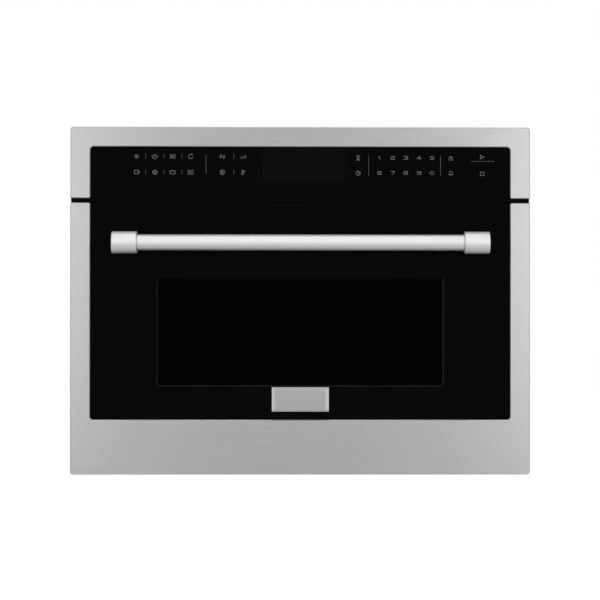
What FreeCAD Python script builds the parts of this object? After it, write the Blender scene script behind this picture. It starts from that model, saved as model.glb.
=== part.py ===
import FreeCAD, Part
import math
import operator
import os
import types

import Sketcher

# Built-in convection microwave with a drop-down door.
# Millimetres. +X is the user's right, +Y runs from the front to the back, +Z is up.
# The origin is the middle of the chassis footprint, on the shelf that carries the oven.

SIZES = {
    # Steel and glass front
    "fascia_width": 606,
    "fascia_height": 458,
    "fascia_lift": 2,
    "fascia_depth": 30,
    "fascia_skin": 1.2,
    "stile_width": 26,
    "top_rail": 26,
    "bottom_rail": 72,
    "panel_height": 94,
    "split_gap": 6,
    "fascia_corner": 4,
    "aperture_corner": 5,
    "stile_corner": 2,
    "skin_bevel": 0.9,
    "glass_thick": 4,
    "glass_recess": 0.8,
    "glass_play": 0.3,
    # Sheet-metal chassis
    "case_inset": 25,
    "case_drop": 15,
    "chassis_depth": 482,
    "case_sheet": 1,
    "case_lip": 14,
    "plate_thick": 1.5,
    "plate_inset": 1.5,
    "door_gap": 3,
    "fixing_edge": 12,
    "fixing_low": 120,
    "fixing_drop": 30,
    "fixing_radius": 2.5,
    "wiring_width": 120,
    "wiring_height": 26,
    "return_flange": 14,
    # Vents in the chassis
    "louvre_length": 46,
    "louvre_width": 4,
    "louvre_pitch": 12,
    "louvre_margin": 26,
    "motor_vent_inner": 46,
    "motor_vent_outer": 68,
    "motor_vent_width": 6,
    "floor_vent_inset": 90,
    "floor_vent_setback": 70,
    # Stiffening beads pressed into the chassis
    "bead_width": 26,
    "bead_rise": 1.2,
    "bead_margin": 70,
    "bead_pitch": 120,
    "bead_foot": 60,
    "bead_head": 100,
    # Cooking cavity
    "side_room": 53,
    "cavity_drop": 46,
    "back_room": 80.5,
    "cavity_floor_height": 74,
    "cavity_sheet": 1,
    "track_width": 6,
    "track_rise": 1,
    # Perforated fan guard in the cavity's back wall
    "guard_margin": 24,
    "guard_rim": 8,
    "guard_sheet": 0.8,
    "guard_dish": 5,
    "guard_hole_radius": 4.6,
    "guard_hole_pitch": 14,
    # Door pan, choke and inner door
    "pan_sheet": 1,
    "pan_rim": 12,
    "choke_side": 30,
    "choke_rise": 24,
    "choke_width": 40,
    "choke_slit_width": 4,
    "choke_slit_depth": 10,
    "choke_slit_pitch": 26,
    "glass_standoff": 4,
    "screen_sheet": 0.8,
    "screen_overlap": 8,
    "inner_glass_thick": 3,
    "inner_glass_overlap": 3,
    "cover_inset": 2.5,
    "cover_proud": 1,
    "cover_rib": 1.5,
    "cover_rib_depth": 10,
    "cover_play": 0.3,
    "trim_height": 8,
    "trim_wall": 1.5,
    "trim_vent_length": 14,
    "trim_vent_width": 8,
    "trim_vent_pitch": 26,
    # Handle
    "handle_drop": 54,
    "handle_reach": 41,
    "handle_margin": 58,
    "bar_radius": 10.4,
    "bar_wall": 1.5,
    "bar_play": 0.05,
    "bar_socket": 24,
    "post_radius": 14.3,
    "post_length": 33,
    "post_edge": 1.5,
    "foot_radius": 13,
    "foot_thick": 5,
    "neck_radius": 9.5,
    "screw_radius": 2.5,
    "screw_head_radius": 4.5,
    "screw_head_height": 3,
    "screw_grip": 14,
    "screw_play": 0.4,
    # Bare plate low on the door glass
    "plaque_width": 75,
    "plaque_height": 32,
    "plaque_thick": 2.6,
    "plaque_bevel": 2,
    "plaque_rise": 27,
    # Door hinges
    "hinge_gap": 9,
    "hinge_rise": 6,
    "hinge_inset": 7,
    "pin_radius": 3,
    "running_play": 0.05,
    "claw_thick": 4,
    "claw_eye": 6,
    "claw_half_height": 4.5,
    "claw_reach": 56,
    "claw_play": 1,
    "channel_inboard": 7,
    "channel_outboard": 17,
    "channel_sheet": 1.5,
    "channel_depth": 18,
    "channel_height": 180,
    "spring_radius": 6.5,
    "spring_length": 86,
    "spring_rod_radius": 2,
    "spring_rod_foot": 20,
    "spring_anchor_drop": 12,
    "spring_anchor_radius": 2.5,
    "spring_eye_radius": 5,
    "spring_eye_width": 6,
    "spring_neck": 12,
    "bracket_sheet": 2,
    "bracket_wall": 14,
    # Door latch and interlock
    "latch_drop": 15,
    "latch_inset": 10,
    "latch_bar_radius": 3,
    "hook_inboard": 43,
    "hook_thick": 6,
    "hook_reach": 24,
    "arm_below": 4,
    "arm_above": 5,
    "barb_drop": 5,
    "barb_length": 7,
    "barb_ramp": 2.5,
    "slot_play_side": 2,
    "slot_play_rise": 12,
    "tab_inboard": 13,
    "tab_depth": 18,
    "catch_box_half": 13,
    "catch_box_depth": 52,
    "catch_box_below": 20,
    "catch_box_above": 18,
    "catch_box_wall": 2,
    "catch_start": 3,
    "catch_length": 15,
    "catch_lead": 6,
    "catch_play": 1,
    "lever_play": 0.4,
    "lever_thick": 3.5,
    "lever_half": 8,
    "lever_below": 9,
    "lever_pivot_rise": 11,
    "lever_eye": 3,
    "lever_pin_radius": 1.5,
    "switch_width": 9.5,
    "switch_depth": 18,
    "switch_below": 14,
    "switch_above": 8,
    "switch_gap": 2.6,
    "plunger_side": 2.4,
    "plunger_rise": -3,
    # Control panel
    "carrier_wall": 1.5,
    "display_width": 111,
    "display_height": 40,
    "display_top_gap": 4,
    "display_frame": 2,
    "display_lens_recess": 1,
    "board_margin": 67,
    "board_height": 46,
    "board_thick": 1.6,
    "board_standoff": 6,
    "standoff_side": 6,
    # Turntable
    "tray_margin": 28,
    "tray_thick": 5,
    "tray_rim_width": 12,
    "tray_rim_rise": 9,
    "tray_lug_radius": 26,
    "tray_lug_height": 4,
    "tray_lug_width": 7,
    "tray_lug_length": 9,
    "roller_radius": 7.7,
    "roller_width": 6,
    "roller_edge": 1,
    "roller_play": 0.3,
    "roller_inset": 46,
    "axle_radius": 1.8,
    "axle_root": 3,
    "ring_gap": 6,
    "ring_width": 12,
    "ring_thick": 5,
    "coupler_hub_radius": 9,
    "coupler_height": 6,
    "coupler_arm_width": 6,
    "shaft_radius": 4,
    "shaft_floor_hole": 7,
    "turn_motor_radius": 25,
    "turn_motor_height": 17,
    "turn_motor_ear": 9,
    "turn_motor_ear_thick": 1.5,
    # Convection fan behind the cavity
    "duct_margin": 12,
    "fan_duct_depth": 44,
    "fan_duct_flange": 10,
    "fan_duct_sheet": 1,
    "fan_gap": 16,
    "blade_overhang": 22,
    "fan_sheet": 1.2,
    "fan_hub_radius": 9,
    "fan_hub_length": 14,
    "blade_root": 15,
    "fan_blade_height": 18,
    "fan_blade_lean": 9,
    "fan_shaft_radius": 4,
    "fan_shaft_hole": 6,
    "fan_motor_radius": 32,
    "fan_motor_length": 26,
    "fan_motor_foot": 42,
    "fan_motor_foot_thick": 2,
    "heater_inset": 24,
    "heater_tube_radius": 3.3,
    "heater_terminal_side": 14,
    "heater_play": 0.3,
    "heater_terminal_length": 8,
    # Waveguide and magnetron
    "guide_length": 190,
    "guide_width": 92,
    "guide_height": 36,
    "guide_sheet": 1.2,
    "guide_inboard": 15,
    "guide_back": 28.5,
    "feed_width": 80,
    "feed_depth": 60,
    "mica_margin": 8,
    "mica_thick": 0.8,
    "antenna_inset": 48,
    "antenna_radius": 8,
    "antenna_length": 24,
    "antenna_tip": 6,
    "antenna_hole": 16,
    "yoke_width": 92,
    "yoke_depth": 72,
    "yoke_height": 62,
    "yoke_sheet": 2,
    "magnet_radius": 27,
    "magnet_height": 12,
    "anode_radius": 19,
    "fin_width": 78,
    "fin_depth": 64,
    "fin_thick": 0.8,
    "filter_width": 60,
    "filter_depth": 50,
    "filter_height": 22,
    # High-voltage supply
    "core_width": 88,
    "core_height": 72,
    "core_depth": 46,
    "core_leg": 14,
    "core_inboard": 13,
    "core_back": 44.5,
    "core_foot": 10,
    "core_foot_thick": 2,
    "coil_overhang": 14,
    "coil_gap": 0.5,
    "capacitor_width": 52,
    "capacitor_height": 34,
    "capacitor_length": 92,
    "capacitor_gap": 4,
    "capacitor_setback": 139.5,
    "capacitor_tag": 9,
    "capacitor_tag_thick": 1,
    # Cooling blower
    "blower_offset": 70,
    "blower_gap": 6,
    "scroll_radius": 52,
    "scroll_growth": 18,
    "scroll_height": 54,
    "scroll_wall": 2,
    "scroll_reach": 66,
    "scroll_inlet": 34,
    "scroll_collar": 9,
    "wheel_radius": 44,
    "wheel_inner": 35,
    "wheel_height": 42,
    "wheel_floor": 2,
    "wheel_hub_radius": 8,
    "wheel_blade_thick": 1.6,
    "wheel_blade_lean": 6,
    "blower_motor_radius": 30,
    "blower_motor_height": 34,
    "blower_motor_foot": 38,
    "blower_motor_foot_thick": 2,
    "blower_shaft_radius": 3,
    "wheel_lift": 4,
    # Lamp, sensors and mains entry
    "lamp_setback": 100.5,
    "lamp_drop": 44,
    "lamp_box_side": 40,
    "lamp_box_depth": 34,
    "lamp_box_wall": 1,
    "lamp_opening": 30,
    "bulb_radius": 11,
    "bulb_neck": 7,
    "bulb_length": 22,
    "thermostat_radius": 8,
    "thermostat_cap": 6,
    "thermostat_height": 9,
    "thermostat_spacing": 46,
    "thermostat_setback": 70,
    "gland_inboard": 68,
    "gland_z": 40,
    "gland_flange": 14,
    "gland_body": 10,
    "gland_bore": 4.25,
    "gland_length": 16,
    "gland_flange_thick": 4,
    "gland_play": 0.2,
    "terminal_width": 44,
    "terminal_depth": 24,
    "terminal_height": 22,
    "terminal_gap": 14,
    "terminal_well_side": 8,
    # One overrun serves every cut that runs out of the material
    "overrun": 2,
}

COUNTS = {
    "rollers": 3,
    "heater_tube_sides": 8,
    "fan_blades": 8,
    "wheel_blades": 20,
    "fins": 5,
    "guard_hole_sides": 6,
    "guard_holes_per_step": 6,
    "side_louvres": 9,
    "rear_louvres": 14,
    "floor_vents": 10,
    "motor_vents": 12,
    "beads": 3,
    "tray_lugs": 3,
    "terminals": 3,
}

# How far a motor's bore, and the shaft in it, reach into the motor
BORE_SHARE = 0.75
SHAFT_SHARE = 0.5

# How much of a slot's width each of its end bevels takes
SLOT_BEVEL_SHARE = 0.33

# Where the tongue of the blower scroll meets its round wall, as a share of the wall's radius
TONGUE_SHARE = 0.866

# A pick of an edge by its place is true within this distance.
NEAR = 0.01


class Size:
    """A length that keeps both its expression, which is bound, and its number, which is drawn."""

    def __init__(self, text, value):
        self.text = text
        self.value = value

    def join(self, other, sign, work, swapped=False):
        other = as_size(other)
        left, right = (other, self) if swapped else (self, other)
        return Size(f"({left.text} {sign} {right.text})", work(left.value, right.value))

    def __add__(self, other):
        return self.join(other, "+", operator.add)

    def __radd__(self, other):
        return self.join(other, "+", operator.add, True)

    def __sub__(self, other):
        return self.join(other, "-", operator.sub)

    def __rsub__(self, other):
        return self.join(other, "-", operator.sub, True)

    def __mul__(self, other):
        return self.join(other, "*", operator.mul)

    def __rmul__(self, other):
        return self.join(other, "*", operator.mul, True)

    def __truediv__(self, other):
        return self.join(other, "/", operator.truediv)

    def __neg__(self):
        return Size(f"(-{self.text})", -self.value)


def as_size(value):
    return value if isinstance(value, Size) else Size(repr(value), value)


doc = FreeCAD.newDocument("built_in_microwave")


def write_sheet(sizes):
    """Puts the driving sizes in a sheet and gives them back by name."""
    sheet = doc.addObject("Spreadsheet::Sheet", "dims")
    for row, (name, number) in enumerate(sizes.items(), start=1):
        sheet.set(f"A{row}", name)
        sheet.set(f"B{row}", str(number))
        sheet.setAlias(f"B{row}", name)
    doc.recompute()
    return types.SimpleNamespace(
        **{name: Size(f"dims.{name}", float(getattr(sheet, name))) for name in sizes}
    )


s = write_sheet(SIZES)

# Tools for drawing and building

PLANES = {"XY": 1, "XZ": -1, "YZ": 1}


def bind(thing, prop, size):
    thing.setExpression(prop, as_size(size).text)


def origin_feature(body, role):
    return next(f for f in body.Origin.OriginFeatures if f.Role == role)


def new_body(label):
    body = doc.addObject("PartDesign::Body", label)
    body.Label = label
    return body


def pin_point(sketch, geometry, end, point):
    for kind, value in zip(("DistanceX", "DistanceY"), point):
        size = as_size(value)
        index = sketch.addConstraint(Sketcher.Constraint(kind, -1, 1, geometry, end, size.value))
        sketch.setExpression(f"Constraints[{index}]", size.text)


def whole(size):
    """How many whole times a pitch goes into a length, from their ratio."""
    return int(size.value + NEAR)


def flat(point):
    return FreeCAD.Vector(as_size(point[0]).value, as_size(point[1]).value, 0)


def poly(*points):
    """A closed outline of straight lines."""

    def draw(sketch):
        first, count = sketch.GeometryCount, len(points)
        for i, point in enumerate(points):
            sketch.addGeometry(Part.LineSegment(flat(point), flat(points[(i + 1) % count])))
        for i in range(count):
            follower = first + (i + 1) % count
            sketch.addConstraint(Sketcher.Constraint("Coincident", first + i, 2, follower, 1))
        for i, point in enumerate(points):
            pin_point(sketch, first + i, 1, point)

    return draw


def path(*steps):
    """A closed outline of lines and arcs. A step is the point it ends at, or that with an arc's centre."""
    ends = [step[0] if isinstance(step[0], tuple) else step for step in steps]
    centres = [step[1] if isinstance(step[0], tuple) else None for step in steps]

    def draw(sketch):
        first, count = sketch.GeometryCount, len(steps)
        for i, centre in enumerate(centres):
            start, end = flat(ends[i - 1]), flat(ends[i])
            if centre is None:
                sketch.addGeometry(Part.LineSegment(start, end))
            else:
                sketch.addGeometry(left_arc(start, end, flat(centre)))
        for i, centre in enumerate(centres):
            sketch.addConstraint(Sketcher.Constraint("Coincident", first + i, 2, first + (i + 1) % count, 1))
            if centre is None:
                pin_point(sketch, first + i, 2, ends[i])
            else:
                pin_point(sketch, first + i, 3, centre)
                pin_one(sketch, first + i, ends[i], centre)

    return draw


def left_arc(start, end, centre):
    """Arc that turns to the left from one point to another."""
    spokes = [point - centre for point in (start, end)]
    angles = [math.atan2(spoke.y, spoke.x) for spoke in spokes]
    circle = Part.Circle(centre, FreeCAD.Vector(0, 0, 1), spokes[0].Length)
    return Part.ArcOfCircle(circle, *angles)


def pin_one(sketch, geometry, point, centre):
    """Fixes an arc's end by the coordinate that changes most along the arc there."""
    spoke = flat(point) - flat(centre)
    kind, value = ("DistanceY", point[1]) if abs(spoke.x) > abs(spoke.y) else ("DistanceX", point[0])
    size = as_size(value)
    index = sketch.addConstraint(Sketcher.Constraint(kind, -1, 1, geometry, 2, size.value))
    sketch.setExpression(f"Constraints[{index}]", size.text)


def upright_slot(u_low, v_low, width, v_high):
    """A slot with bevelled ends that stands along the second axis."""
    bevel = width * SLOT_BEVEL_SHARE
    right, low, high = u_low + width, v_low + bevel, v_high - bevel
    ends = (u_low + bevel, v_low), (right - bevel, v_low), (right - bevel, v_high), (u_low + bevel, v_high)
    return poly(ends[0], ends[1], (right, low), (right, high), ends[2], ends[3], (u_low, high), (u_low, low))


def polygon(u, v, radius, sides):
    """A regular outline round a point, with its corners on a circle."""
    turns = [2 * math.pi * i / sides for i in range(sides)]
    return poly(*((u + radius * math.cos(turn), v + radius * math.sin(turn)) for turn in turns))


def spoke(u, v, inner, outer, width, turn):
    """A slot that points away from a centre, at a turn in radians."""
    cosine, sine = math.cos(turn), math.sin(turn)
    corners = (inner, -width / 2), (outer, -width / 2), (outer, width / 2), (inner, width / 2)
    return poly(*((u + a * cosine - b * sine, v + a * sine + b * cosine) for a, b in corners))


def chord(radius, offset):
    """Half the chord of a circle at an offset from its centre."""
    text = f"sqrt({radius.text} ^ 2 - {offset.text} ^ 2)"
    return Size(text, math.sqrt(radius.value**2 - offset.value**2))


def rect(u_low, v_low, u_high, v_high):
    return poly((u_low, v_low), (u_high, v_low), (u_high, v_high), (u_low, v_high))


def disc(u, v, radius):
    def draw(sketch):
        size = as_size(radius)
        index = sketch.addGeometry(Part.Circle(flat((u, v)), FreeCAD.Vector(0, 0, 1), size.value))
        pin_point(sketch, index, 3, (u, v))
        rule = sketch.addConstraint(Sketcher.Constraint("Radius", index, size.value))
        sketch.setExpression(f"Constraints[{rule}]", size.text)

    return draw


def sketch_on(body, plane, level, outlines):
    sketch = body.newObject("Sketcher::SketchObject", f"{body.Name}_outline")
    sketch.AttachmentSupport = [(origin_feature(body, f"{plane}_Plane"), "")]
    sketch.MapMode = "FlatFace"
    bind(sketch, "AttachmentOffset.Base.z", PLANES[plane] * as_size(level))
    for outline in outlines:
        outline(sketch)
    return sketch


def pad(body, plane, low, high, *outlines):
    """Adds material between two levels along the axis that the plane faces."""
    level = low if PLANES[plane] > 0 else high
    feature = body.newObject("PartDesign::Pad", f"{body.Name}_pad")
    feature.Profile = sketch_on(body, plane, level, outlines)
    bind(feature, "Length", high - low)
    return feature


def pocket(body, plane, low, high, *outlines):
    """Takes away material between two levels along the axis that the plane faces."""
    level = high if PLANES[plane] > 0 else low
    feature = body.newObject("PartDesign::Pocket", f"{body.Name}_pocket")
    feature.Profile = sketch_on(body, plane, level, outlines)
    bind(feature, "Length", high - low)
    return feature


def revolve(body, *outlines):
    """Turns an outline of radius and height round the body's own Z axis."""
    sketch = sketch_on(body, "XZ", 0, outlines)
    feature = body.newObject("PartDesign::Revolution", f"{body.Name}_turn")
    feature.Profile = sketch
    feature.ReferenceAxis = (sketch, ["V_Axis"])
    feature.Angle = 360
    return feature


def polar(body, features, count):
    doc.recompute()
    pattern = body.newObject("PartDesign::PolarPattern", f"{body.Name}_polar")
    pattern.Originals = features
    pattern.Axis = (origin_feature(body, "Z_Axis"), [""])
    pattern.Angle = 360
    pattern.Occurrences = count
    body.Tip = pattern


def row(body, features, axis, length, count):
    doc.recompute()
    pattern = body.newObject("PartDesign::LinearPattern", f"{body.Name}_row")
    pattern.Originals = features
    pattern.Direction = (origin_feature(body, f"{axis}_Axis"), [""])
    bind(pattern, "Length", length)
    pattern.Occurrences = count
    body.Tip = pattern


def mirror(body, features, plane="YZ"):
    doc.recompute()
    feature = body.newObject("PartDesign::Mirrored", f"{body.Name}_mirror")
    feature.Originals = features
    feature.MirrorPlane = (origin_feature(body, f"{plane}_Plane"), [""])
    body.Tip = feature


def along(edge, axis):
    """True for a straight edge that runs along the axis."""
    if not isinstance(edge.Curve, Part.Line):
        return False
    return abs(abs(getattr(edge.Curve.Direction, axis)) - 1) < NEAR


def beside(edge, **places):
    """True for an edge whose middle has each of these coordinates, on either side of zero."""
    middle = edge.CenterOfMass
    return all(abs(abs(getattr(middle, a)) - abs(as_size(v).value)) < NEAR for a, v in places.items())


def corner_at(x, z):
    """Picks the edges along Y at a corner of the front view, on either side."""
    return lambda edge: along(edge, "y") and beside(edge, x=x, z=z)


def dress(body, kind, size, pick):
    """Rounds or bevels the edges of the body's last feature that the pick is true for."""
    doc.recompute()
    base = body.Tip
    names = [f"Edge{i}" for i, edge in enumerate(base.Shape.Edges, start=1) if pick(edge)]
    if not names:
        raise ValueError(f"{body.Label}: no edge was picked to dress")
    feature = body.newObject(f"PartDesign::{kind}", f"{body.Name}_{kind.lower()}")
    feature.Base = (base, names)
    bind(feature, "Radius" if kind == "Fillet" else "Size", size)
    return feature


def place(thing, x=0, y=0, z=0, turn=None):
    """Sets a piece that was drawn round its own origin in its place. turn is an axis and degrees."""
    if turn:
        axis, degrees = turn
        rotation = FreeCAD.Rotation(FreeCAD.Vector(*axis), degrees)
        thing.Placement = FreeCAD.Placement(FreeCAD.Vector(), rotation)
    for letter, value in zip("xyz", (x, y, z)):
        bind(thing, f"Placement.Base.{letter}", value)


def pair(label, piece):
    """A left and a right copy of a piece that stands off the middle plane, as one group."""
    twin = doc.addObject("Part::Mirroring", f"{label}_twin")
    twin.Source = piece
    twin.Normal = (1, 0, 0)
    group = doc.addObject("Part::Compound", label)
    group.Links = [piece, twin]
    group.Label = label
    return group


# Planes that the pieces share

FRONT = -s.chassis_depth / 2
REAR = s.chassis_depth / 2
PLATE_BACK = FRONT + s.plate_thick
DOOR_BACK = FRONT - s.door_gap
FACE = DOOR_BACK - s.fascia_depth
GLASS_FACE = FACE + s.glass_recess
GLASS_BACK = GLASS_FACE + s.glass_thick
FASCIA_HALF = s.fascia_width / 2
APERTURE_HALF = FASCIA_HALF - s.stile_width
GLASS_HALF = APERTURE_HALF - s.glass_play
DOOR_BOTTOM = s.fascia_lift
FASCIA_TOP = s.fascia_lift + s.fascia_height
PANEL_BOTTOM = FASCIA_TOP - s.panel_height
DOOR_TOP = PANEL_BOTTOM - s.split_gap
PAN_TOP = DOOR_TOP - s.trim_height
APERTURE_BOTTOM = DOOR_BOTTOM + s.bottom_rail
APERTURE_TOP = FASCIA_TOP - s.top_rail
CASE_HALF = FASCIA_HALF - s.case_inset
CASE_TOP = FASCIA_TOP - s.case_drop
CAVITY_HALF = CASE_HALF - s.side_room
CAVITY_FLOOR = s.cavity_floor_height
CAVITY_TOP = DOOR_TOP - s.cavity_drop
CAVITY_BACK = REAR - s.back_room
ROOF = CAVITY_TOP + s.cavity_sheet
CHOKE_HALF = CAVITY_HALF + s.choke_side
CHOKE_LOW = CAVITY_FLOOR - s.choke_rise
CHOKE_HIGH = CAVITY_TOP + s.choke_rise
SCREEN_HALF = CHOKE_HALF - s.choke_width
SCREEN_LOW = CHOKE_LOW + s.choke_width
SCREEN_HIGH = CHOKE_HIGH - s.choke_width
TROUGH_FACE = GLASS_BACK + s.glass_standoff
INNER_GLASS_FACE = DOOR_BACK - s.inner_glass_thick
INNER_GLASS_HALF = SCREEN_HALF + s.inner_glass_overlap
INNER_GLASS_LOW = SCREEN_LOW - s.inner_glass_overlap
INNER_GLASS_HIGH = SCREEN_HIGH + s.inner_glass_overlap
HANDLE_Z = DOOR_TOP - s.handle_drop
HANDLE_Y = FACE - s.handle_reach
HANDLE_HALF = FASCIA_HALF - s.handle_margin
POST_INNER = HANDLE_HALF - s.post_length
POST_X = HANDLE_HALF - s.post_length / 2
HINGE_Y = DOOR_BACK - s.hinge_inset
HINGE_Z = DOOR_BOTTOM + s.hinge_rise
CHANNEL_LOW = DOOR_BOTTOM + s.fascia_skin + s.pan_sheet
LATCH_Y = DOOR_BACK - s.latch_inset
LATCH_Z = DOOR_TOP - s.latch_drop
HOOK_TIP = FRONT + s.hook_reach
HINGE_X = CHOKE_HALF + s.hinge_gap
CLAW_LOW = HINGE_X - s.claw_thick / 2
CLAW_HIGH = HINGE_X + s.claw_thick / 2
HOOK_X = CASE_HALF - s.hook_inboard
TAB_X = HOOK_X - s.tab_inboard
FIXING_HIGH = DOOR_TOP - s.fixing_drop
BOARD_HALF = APERTURE_HALF - s.board_margin
TURN_Y = (PLATE_BACK + CAVITY_BACK) / 2
TRAY_RADIUS = (CAVITY_BACK - PLATE_BACK) / 2 - s.tray_margin
ROLLER_TRACK = TRAY_RADIUS - s.roller_inset
RING_INNER = ROLLER_TRACK - s.ring_gap - s.ring_width
FAN_Z = (CAVITY_FLOOR + CAVITY_TOP) / 2
GUARD_RADIUS = (CAVITY_TOP - CAVITY_FLOOR) / 2 - s.guard_margin
GUARD_OPENING = GUARD_RADIUS - s.guard_rim
DUCT_RADIUS = GUARD_RADIUS + s.duct_margin
HEATER_RADIUS = DUCT_RADIUS - s.heater_inset
FAN_RADIUS = HEATER_RADIUS - s.fan_gap
GUIDE_LEFT = CAVITY_HALF - s.guide_inboard - s.guide_length
GUIDE_FRONT = CAVITY_BACK - s.guide_back - s.guide_width
ANTENNA_X = GUIDE_LEFT + s.guide_length - s.antenna_inset
ANTENNA_Y = GUIDE_FRONT + s.guide_width / 2
BLOWER_X = ANTENNA_X - s.blower_offset
BLOWER_Y = GUIDE_FRONT - s.scroll_reach - s.blower_gap
CORE_LEFT = s.core_inboard - CAVITY_HALF
CORE_FRONT = CAVITY_BACK - s.core_back - s.core_depth
LAMP_Y = CAVITY_BACK - s.lamp_setback
LAMP_Z = CAVITY_TOP - s.lamp_drop
GLAND_X = s.gland_inboard - CASE_HALF


def ring_rect(half, low, high, step):
    """Two outlines: a rectangle and the same one grown by a step."""
    return rect(-half - step, low - step, half + step, high + step), rect(-half, low, half, high)


# Door


def door_frame():
    """Folded steel surround of the door: two stiles and a deep bottom rail, open at the top."""
    body = new_body("door_frame")
    skin = s.fascia_skin
    pad(body, "XZ", FACE, DOOR_BACK, rect(-FASCIA_HALF, DOOR_BOTTOM, FASCIA_HALF, DOOR_TOP))
    dress(body, "Fillet", s.fascia_corner, corner_at(FASCIA_HALF, DOOR_BOTTOM))
    inner = rect(-FASCIA_HALF + skin, DOOR_BOTTOM + skin, FASCIA_HALF - skin, DOOR_TOP - skin)
    pocket(body, "XZ", FACE + skin, DOOR_BACK + s.overrun, inner)
    corner = s.fascia_corner - skin
    dress(body, "Fillet", corner, corner_at(FASCIA_HALF - skin, DOOR_BOTTOM + skin))
    lip = APERTURE_HALF + skin
    lip_low = APERTURE_BOTTOM - skin
    pad(body, "XZ", FACE + skin, GLASS_BACK, rect(-lip, lip_low, lip, DOOR_TOP))
    hole = rect(-APERTURE_HALF, APERTURE_BOTTOM, APERTURE_HALF, DOOR_TOP + s.overrun)
    pocket(body, "XZ", FACE - s.overrun, DOOR_BACK + s.overrun, hole)
    dress(body, "Fillet", s.aperture_corner, corner_at(APERTURE_HALF, APERTURE_BOTTOM))
    dress(body, "Fillet", s.stile_corner, corner_at(APERTURE_HALF, DOOR_TOP))
    play = s.claw_play
    room = rect(CLAW_LOW - play, HINGE_Y - s.claw_eye - play, CLAW_HIGH + play, DOOR_BACK + s.overrun)
    notch = pocket(body, "XY", DOOR_BOTTOM - s.overrun, DOOR_BOTTOM + skin + s.overrun, room)
    mirror(body, [notch])
    dress(body, "Chamfer", s.skin_bevel, on_front_rim)
    return body


def on_front_rim(edge):
    """True for the edges that lie in the front face of the fascia."""
    return all(abs(v.Y - FACE.value) < NEAR for v in edge.Vertexes)


def door_glass():
    """Outer sheet of black glass, drilled for the two handle screws."""
    body = new_body("door_glass")
    low = APERTURE_BOTTOM + s.glass_play
    pad(body, "XZ", GLASS_FACE, GLASS_BACK, rect(-GLASS_HALF, low, GLASS_HALF, DOOR_TOP))
    holes = [disc(side * POST_X, HANDLE_Z, s.screw_radius + s.screw_play) for side in (-1, 1)]
    pocket(body, "XZ", GLASS_FACE - s.overrun, GLASS_BACK + s.overrun, *holes)
    corner = s.aperture_corner - s.glass_play
    dress(body, "Fillet", corner, corner_at(GLASS_HALF, low))
    return body


def door_pan():
    """Pressed steel inner door with the choke trough round its window and the latch bar's bearings."""
    body = new_body("door_pan")
    sheet = s.pan_sheet
    half = FASCIA_HALF - s.fascia_skin
    low = DOOR_BOTTOM + s.fascia_skin
    choke = rect(-CHOKE_HALF, CHOKE_LOW, CHOKE_HALF, CHOKE_HIGH)
    outside = rect(-half, low, half, PAN_TOP)
    pad(body, "XZ", DOOR_BACK - sheet, DOOR_BACK, outside, choke)
    outside = rect(-half, low, half, PAN_TOP)
    inside = rect(-half + sheet, low + sheet, half - sheet, PAN_TOP - sheet)
    pad(body, "XZ", DOOR_BACK - s.pan_rim, DOOR_BACK, outside, inside)
    pad(body, "XZ", GLASS_BACK, DOOR_BACK, *ring_rect(CHOKE_HALF, CHOKE_LOW, CHOKE_HIGH, sheet))
    trough = rect(-CHOKE_HALF - sheet, CHOKE_LOW - sheet, CHOKE_HALF + sheet, CHOKE_HIGH + sheet)
    window = rect(-SCREEN_HALF, SCREEN_LOW, SCREEN_HALF, SCREEN_HIGH)
    pad(body, "XZ", TROUGH_FACE, TROUGH_FACE + sheet, trough, window)
    pad(body, "XZ", TROUGH_FACE, INNER_GLASS_FACE, *ring_rect(SCREEN_HALF, SCREEN_LOW, SCREEN_HIGH, sheet))
    dress(body, "Fillet", s.fascia_corner - s.fascia_skin, corner_at(half, low))
    choke_slits(body)
    tabs = pad(
        body,
        "YZ",
        TAB_X,
        TAB_X + s.pan_sheet,
        rect(DOOR_BACK - s.tab_depth, CHOKE_HIGH, DOOR_BACK, PAN_TOP),
    )
    mirror(body, [tabs])
    bearing = disc(LATCH_Y, LATCH_Z, s.latch_bar_radius + s.running_play)
    pocket(body, "YZ", -TAB_X - s.overrun, TAB_X + s.overrun, bearing)
    holes = [disc(side * POST_X, HANDLE_Z, s.screw_radius + s.screw_play) for side in (-1, 1)]
    pocket(body, "XZ", TROUGH_FACE - s.overrun, TROUGH_FACE + s.overrun, *holes)
    claw_slots(body, DOOR_BACK - s.pan_rim - s.overrun, DOOR_BACK + s.overrun)
    hook_slots(body, DOOR_BACK - s.pan_rim - s.overrun, DOOR_BACK + s.overrun)
    return body


def choke_slits(body):
    """Comb of slits in the inner wall of the choke, along its long and its short sides."""
    edge = INNER_GLASS_FACE - s.choke_slit_depth
    end = INNER_GLASS_FACE + s.overrun
    across = whole(2 * SCREEN_HALF / s.choke_slit_pitch) - 1
    reach = s.choke_slit_pitch * (across - 1)
    left = -reach / 2 - s.choke_slit_width / 2
    right = left + s.choke_slit_width
    wide = pocket(
        body,
        "XZ",
        edge,
        end,
        rect(left, SCREEN_LOW - s.pan_sheet - s.overrun, right, SCREEN_LOW + s.overrun),
        rect(left, SCREEN_HIGH - s.overrun, right, SCREEN_HIGH + s.pan_sheet + s.overrun),
    )
    row(body, [wide], "X", reach, across)
    upward = whole((SCREEN_HIGH - SCREEN_LOW) / s.choke_slit_pitch) - 1
    rise = s.choke_slit_pitch * (upward - 1)
    foot = (SCREEN_LOW + SCREEN_HIGH) / 2 - rise / 2 - s.choke_slit_width / 2
    outer = SCREEN_HALF + s.pan_sheet + s.overrun
    inner = SCREEN_HALF - s.overrun
    tall = pocket(
        body,
        "XZ",
        edge,
        end,
        rect(-outer, foot, -inner, foot + s.choke_slit_width),
        rect(inner, foot, outer, foot + s.choke_slit_width),
    )
    row(body, [tall], "Z", rise, upward)


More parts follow.
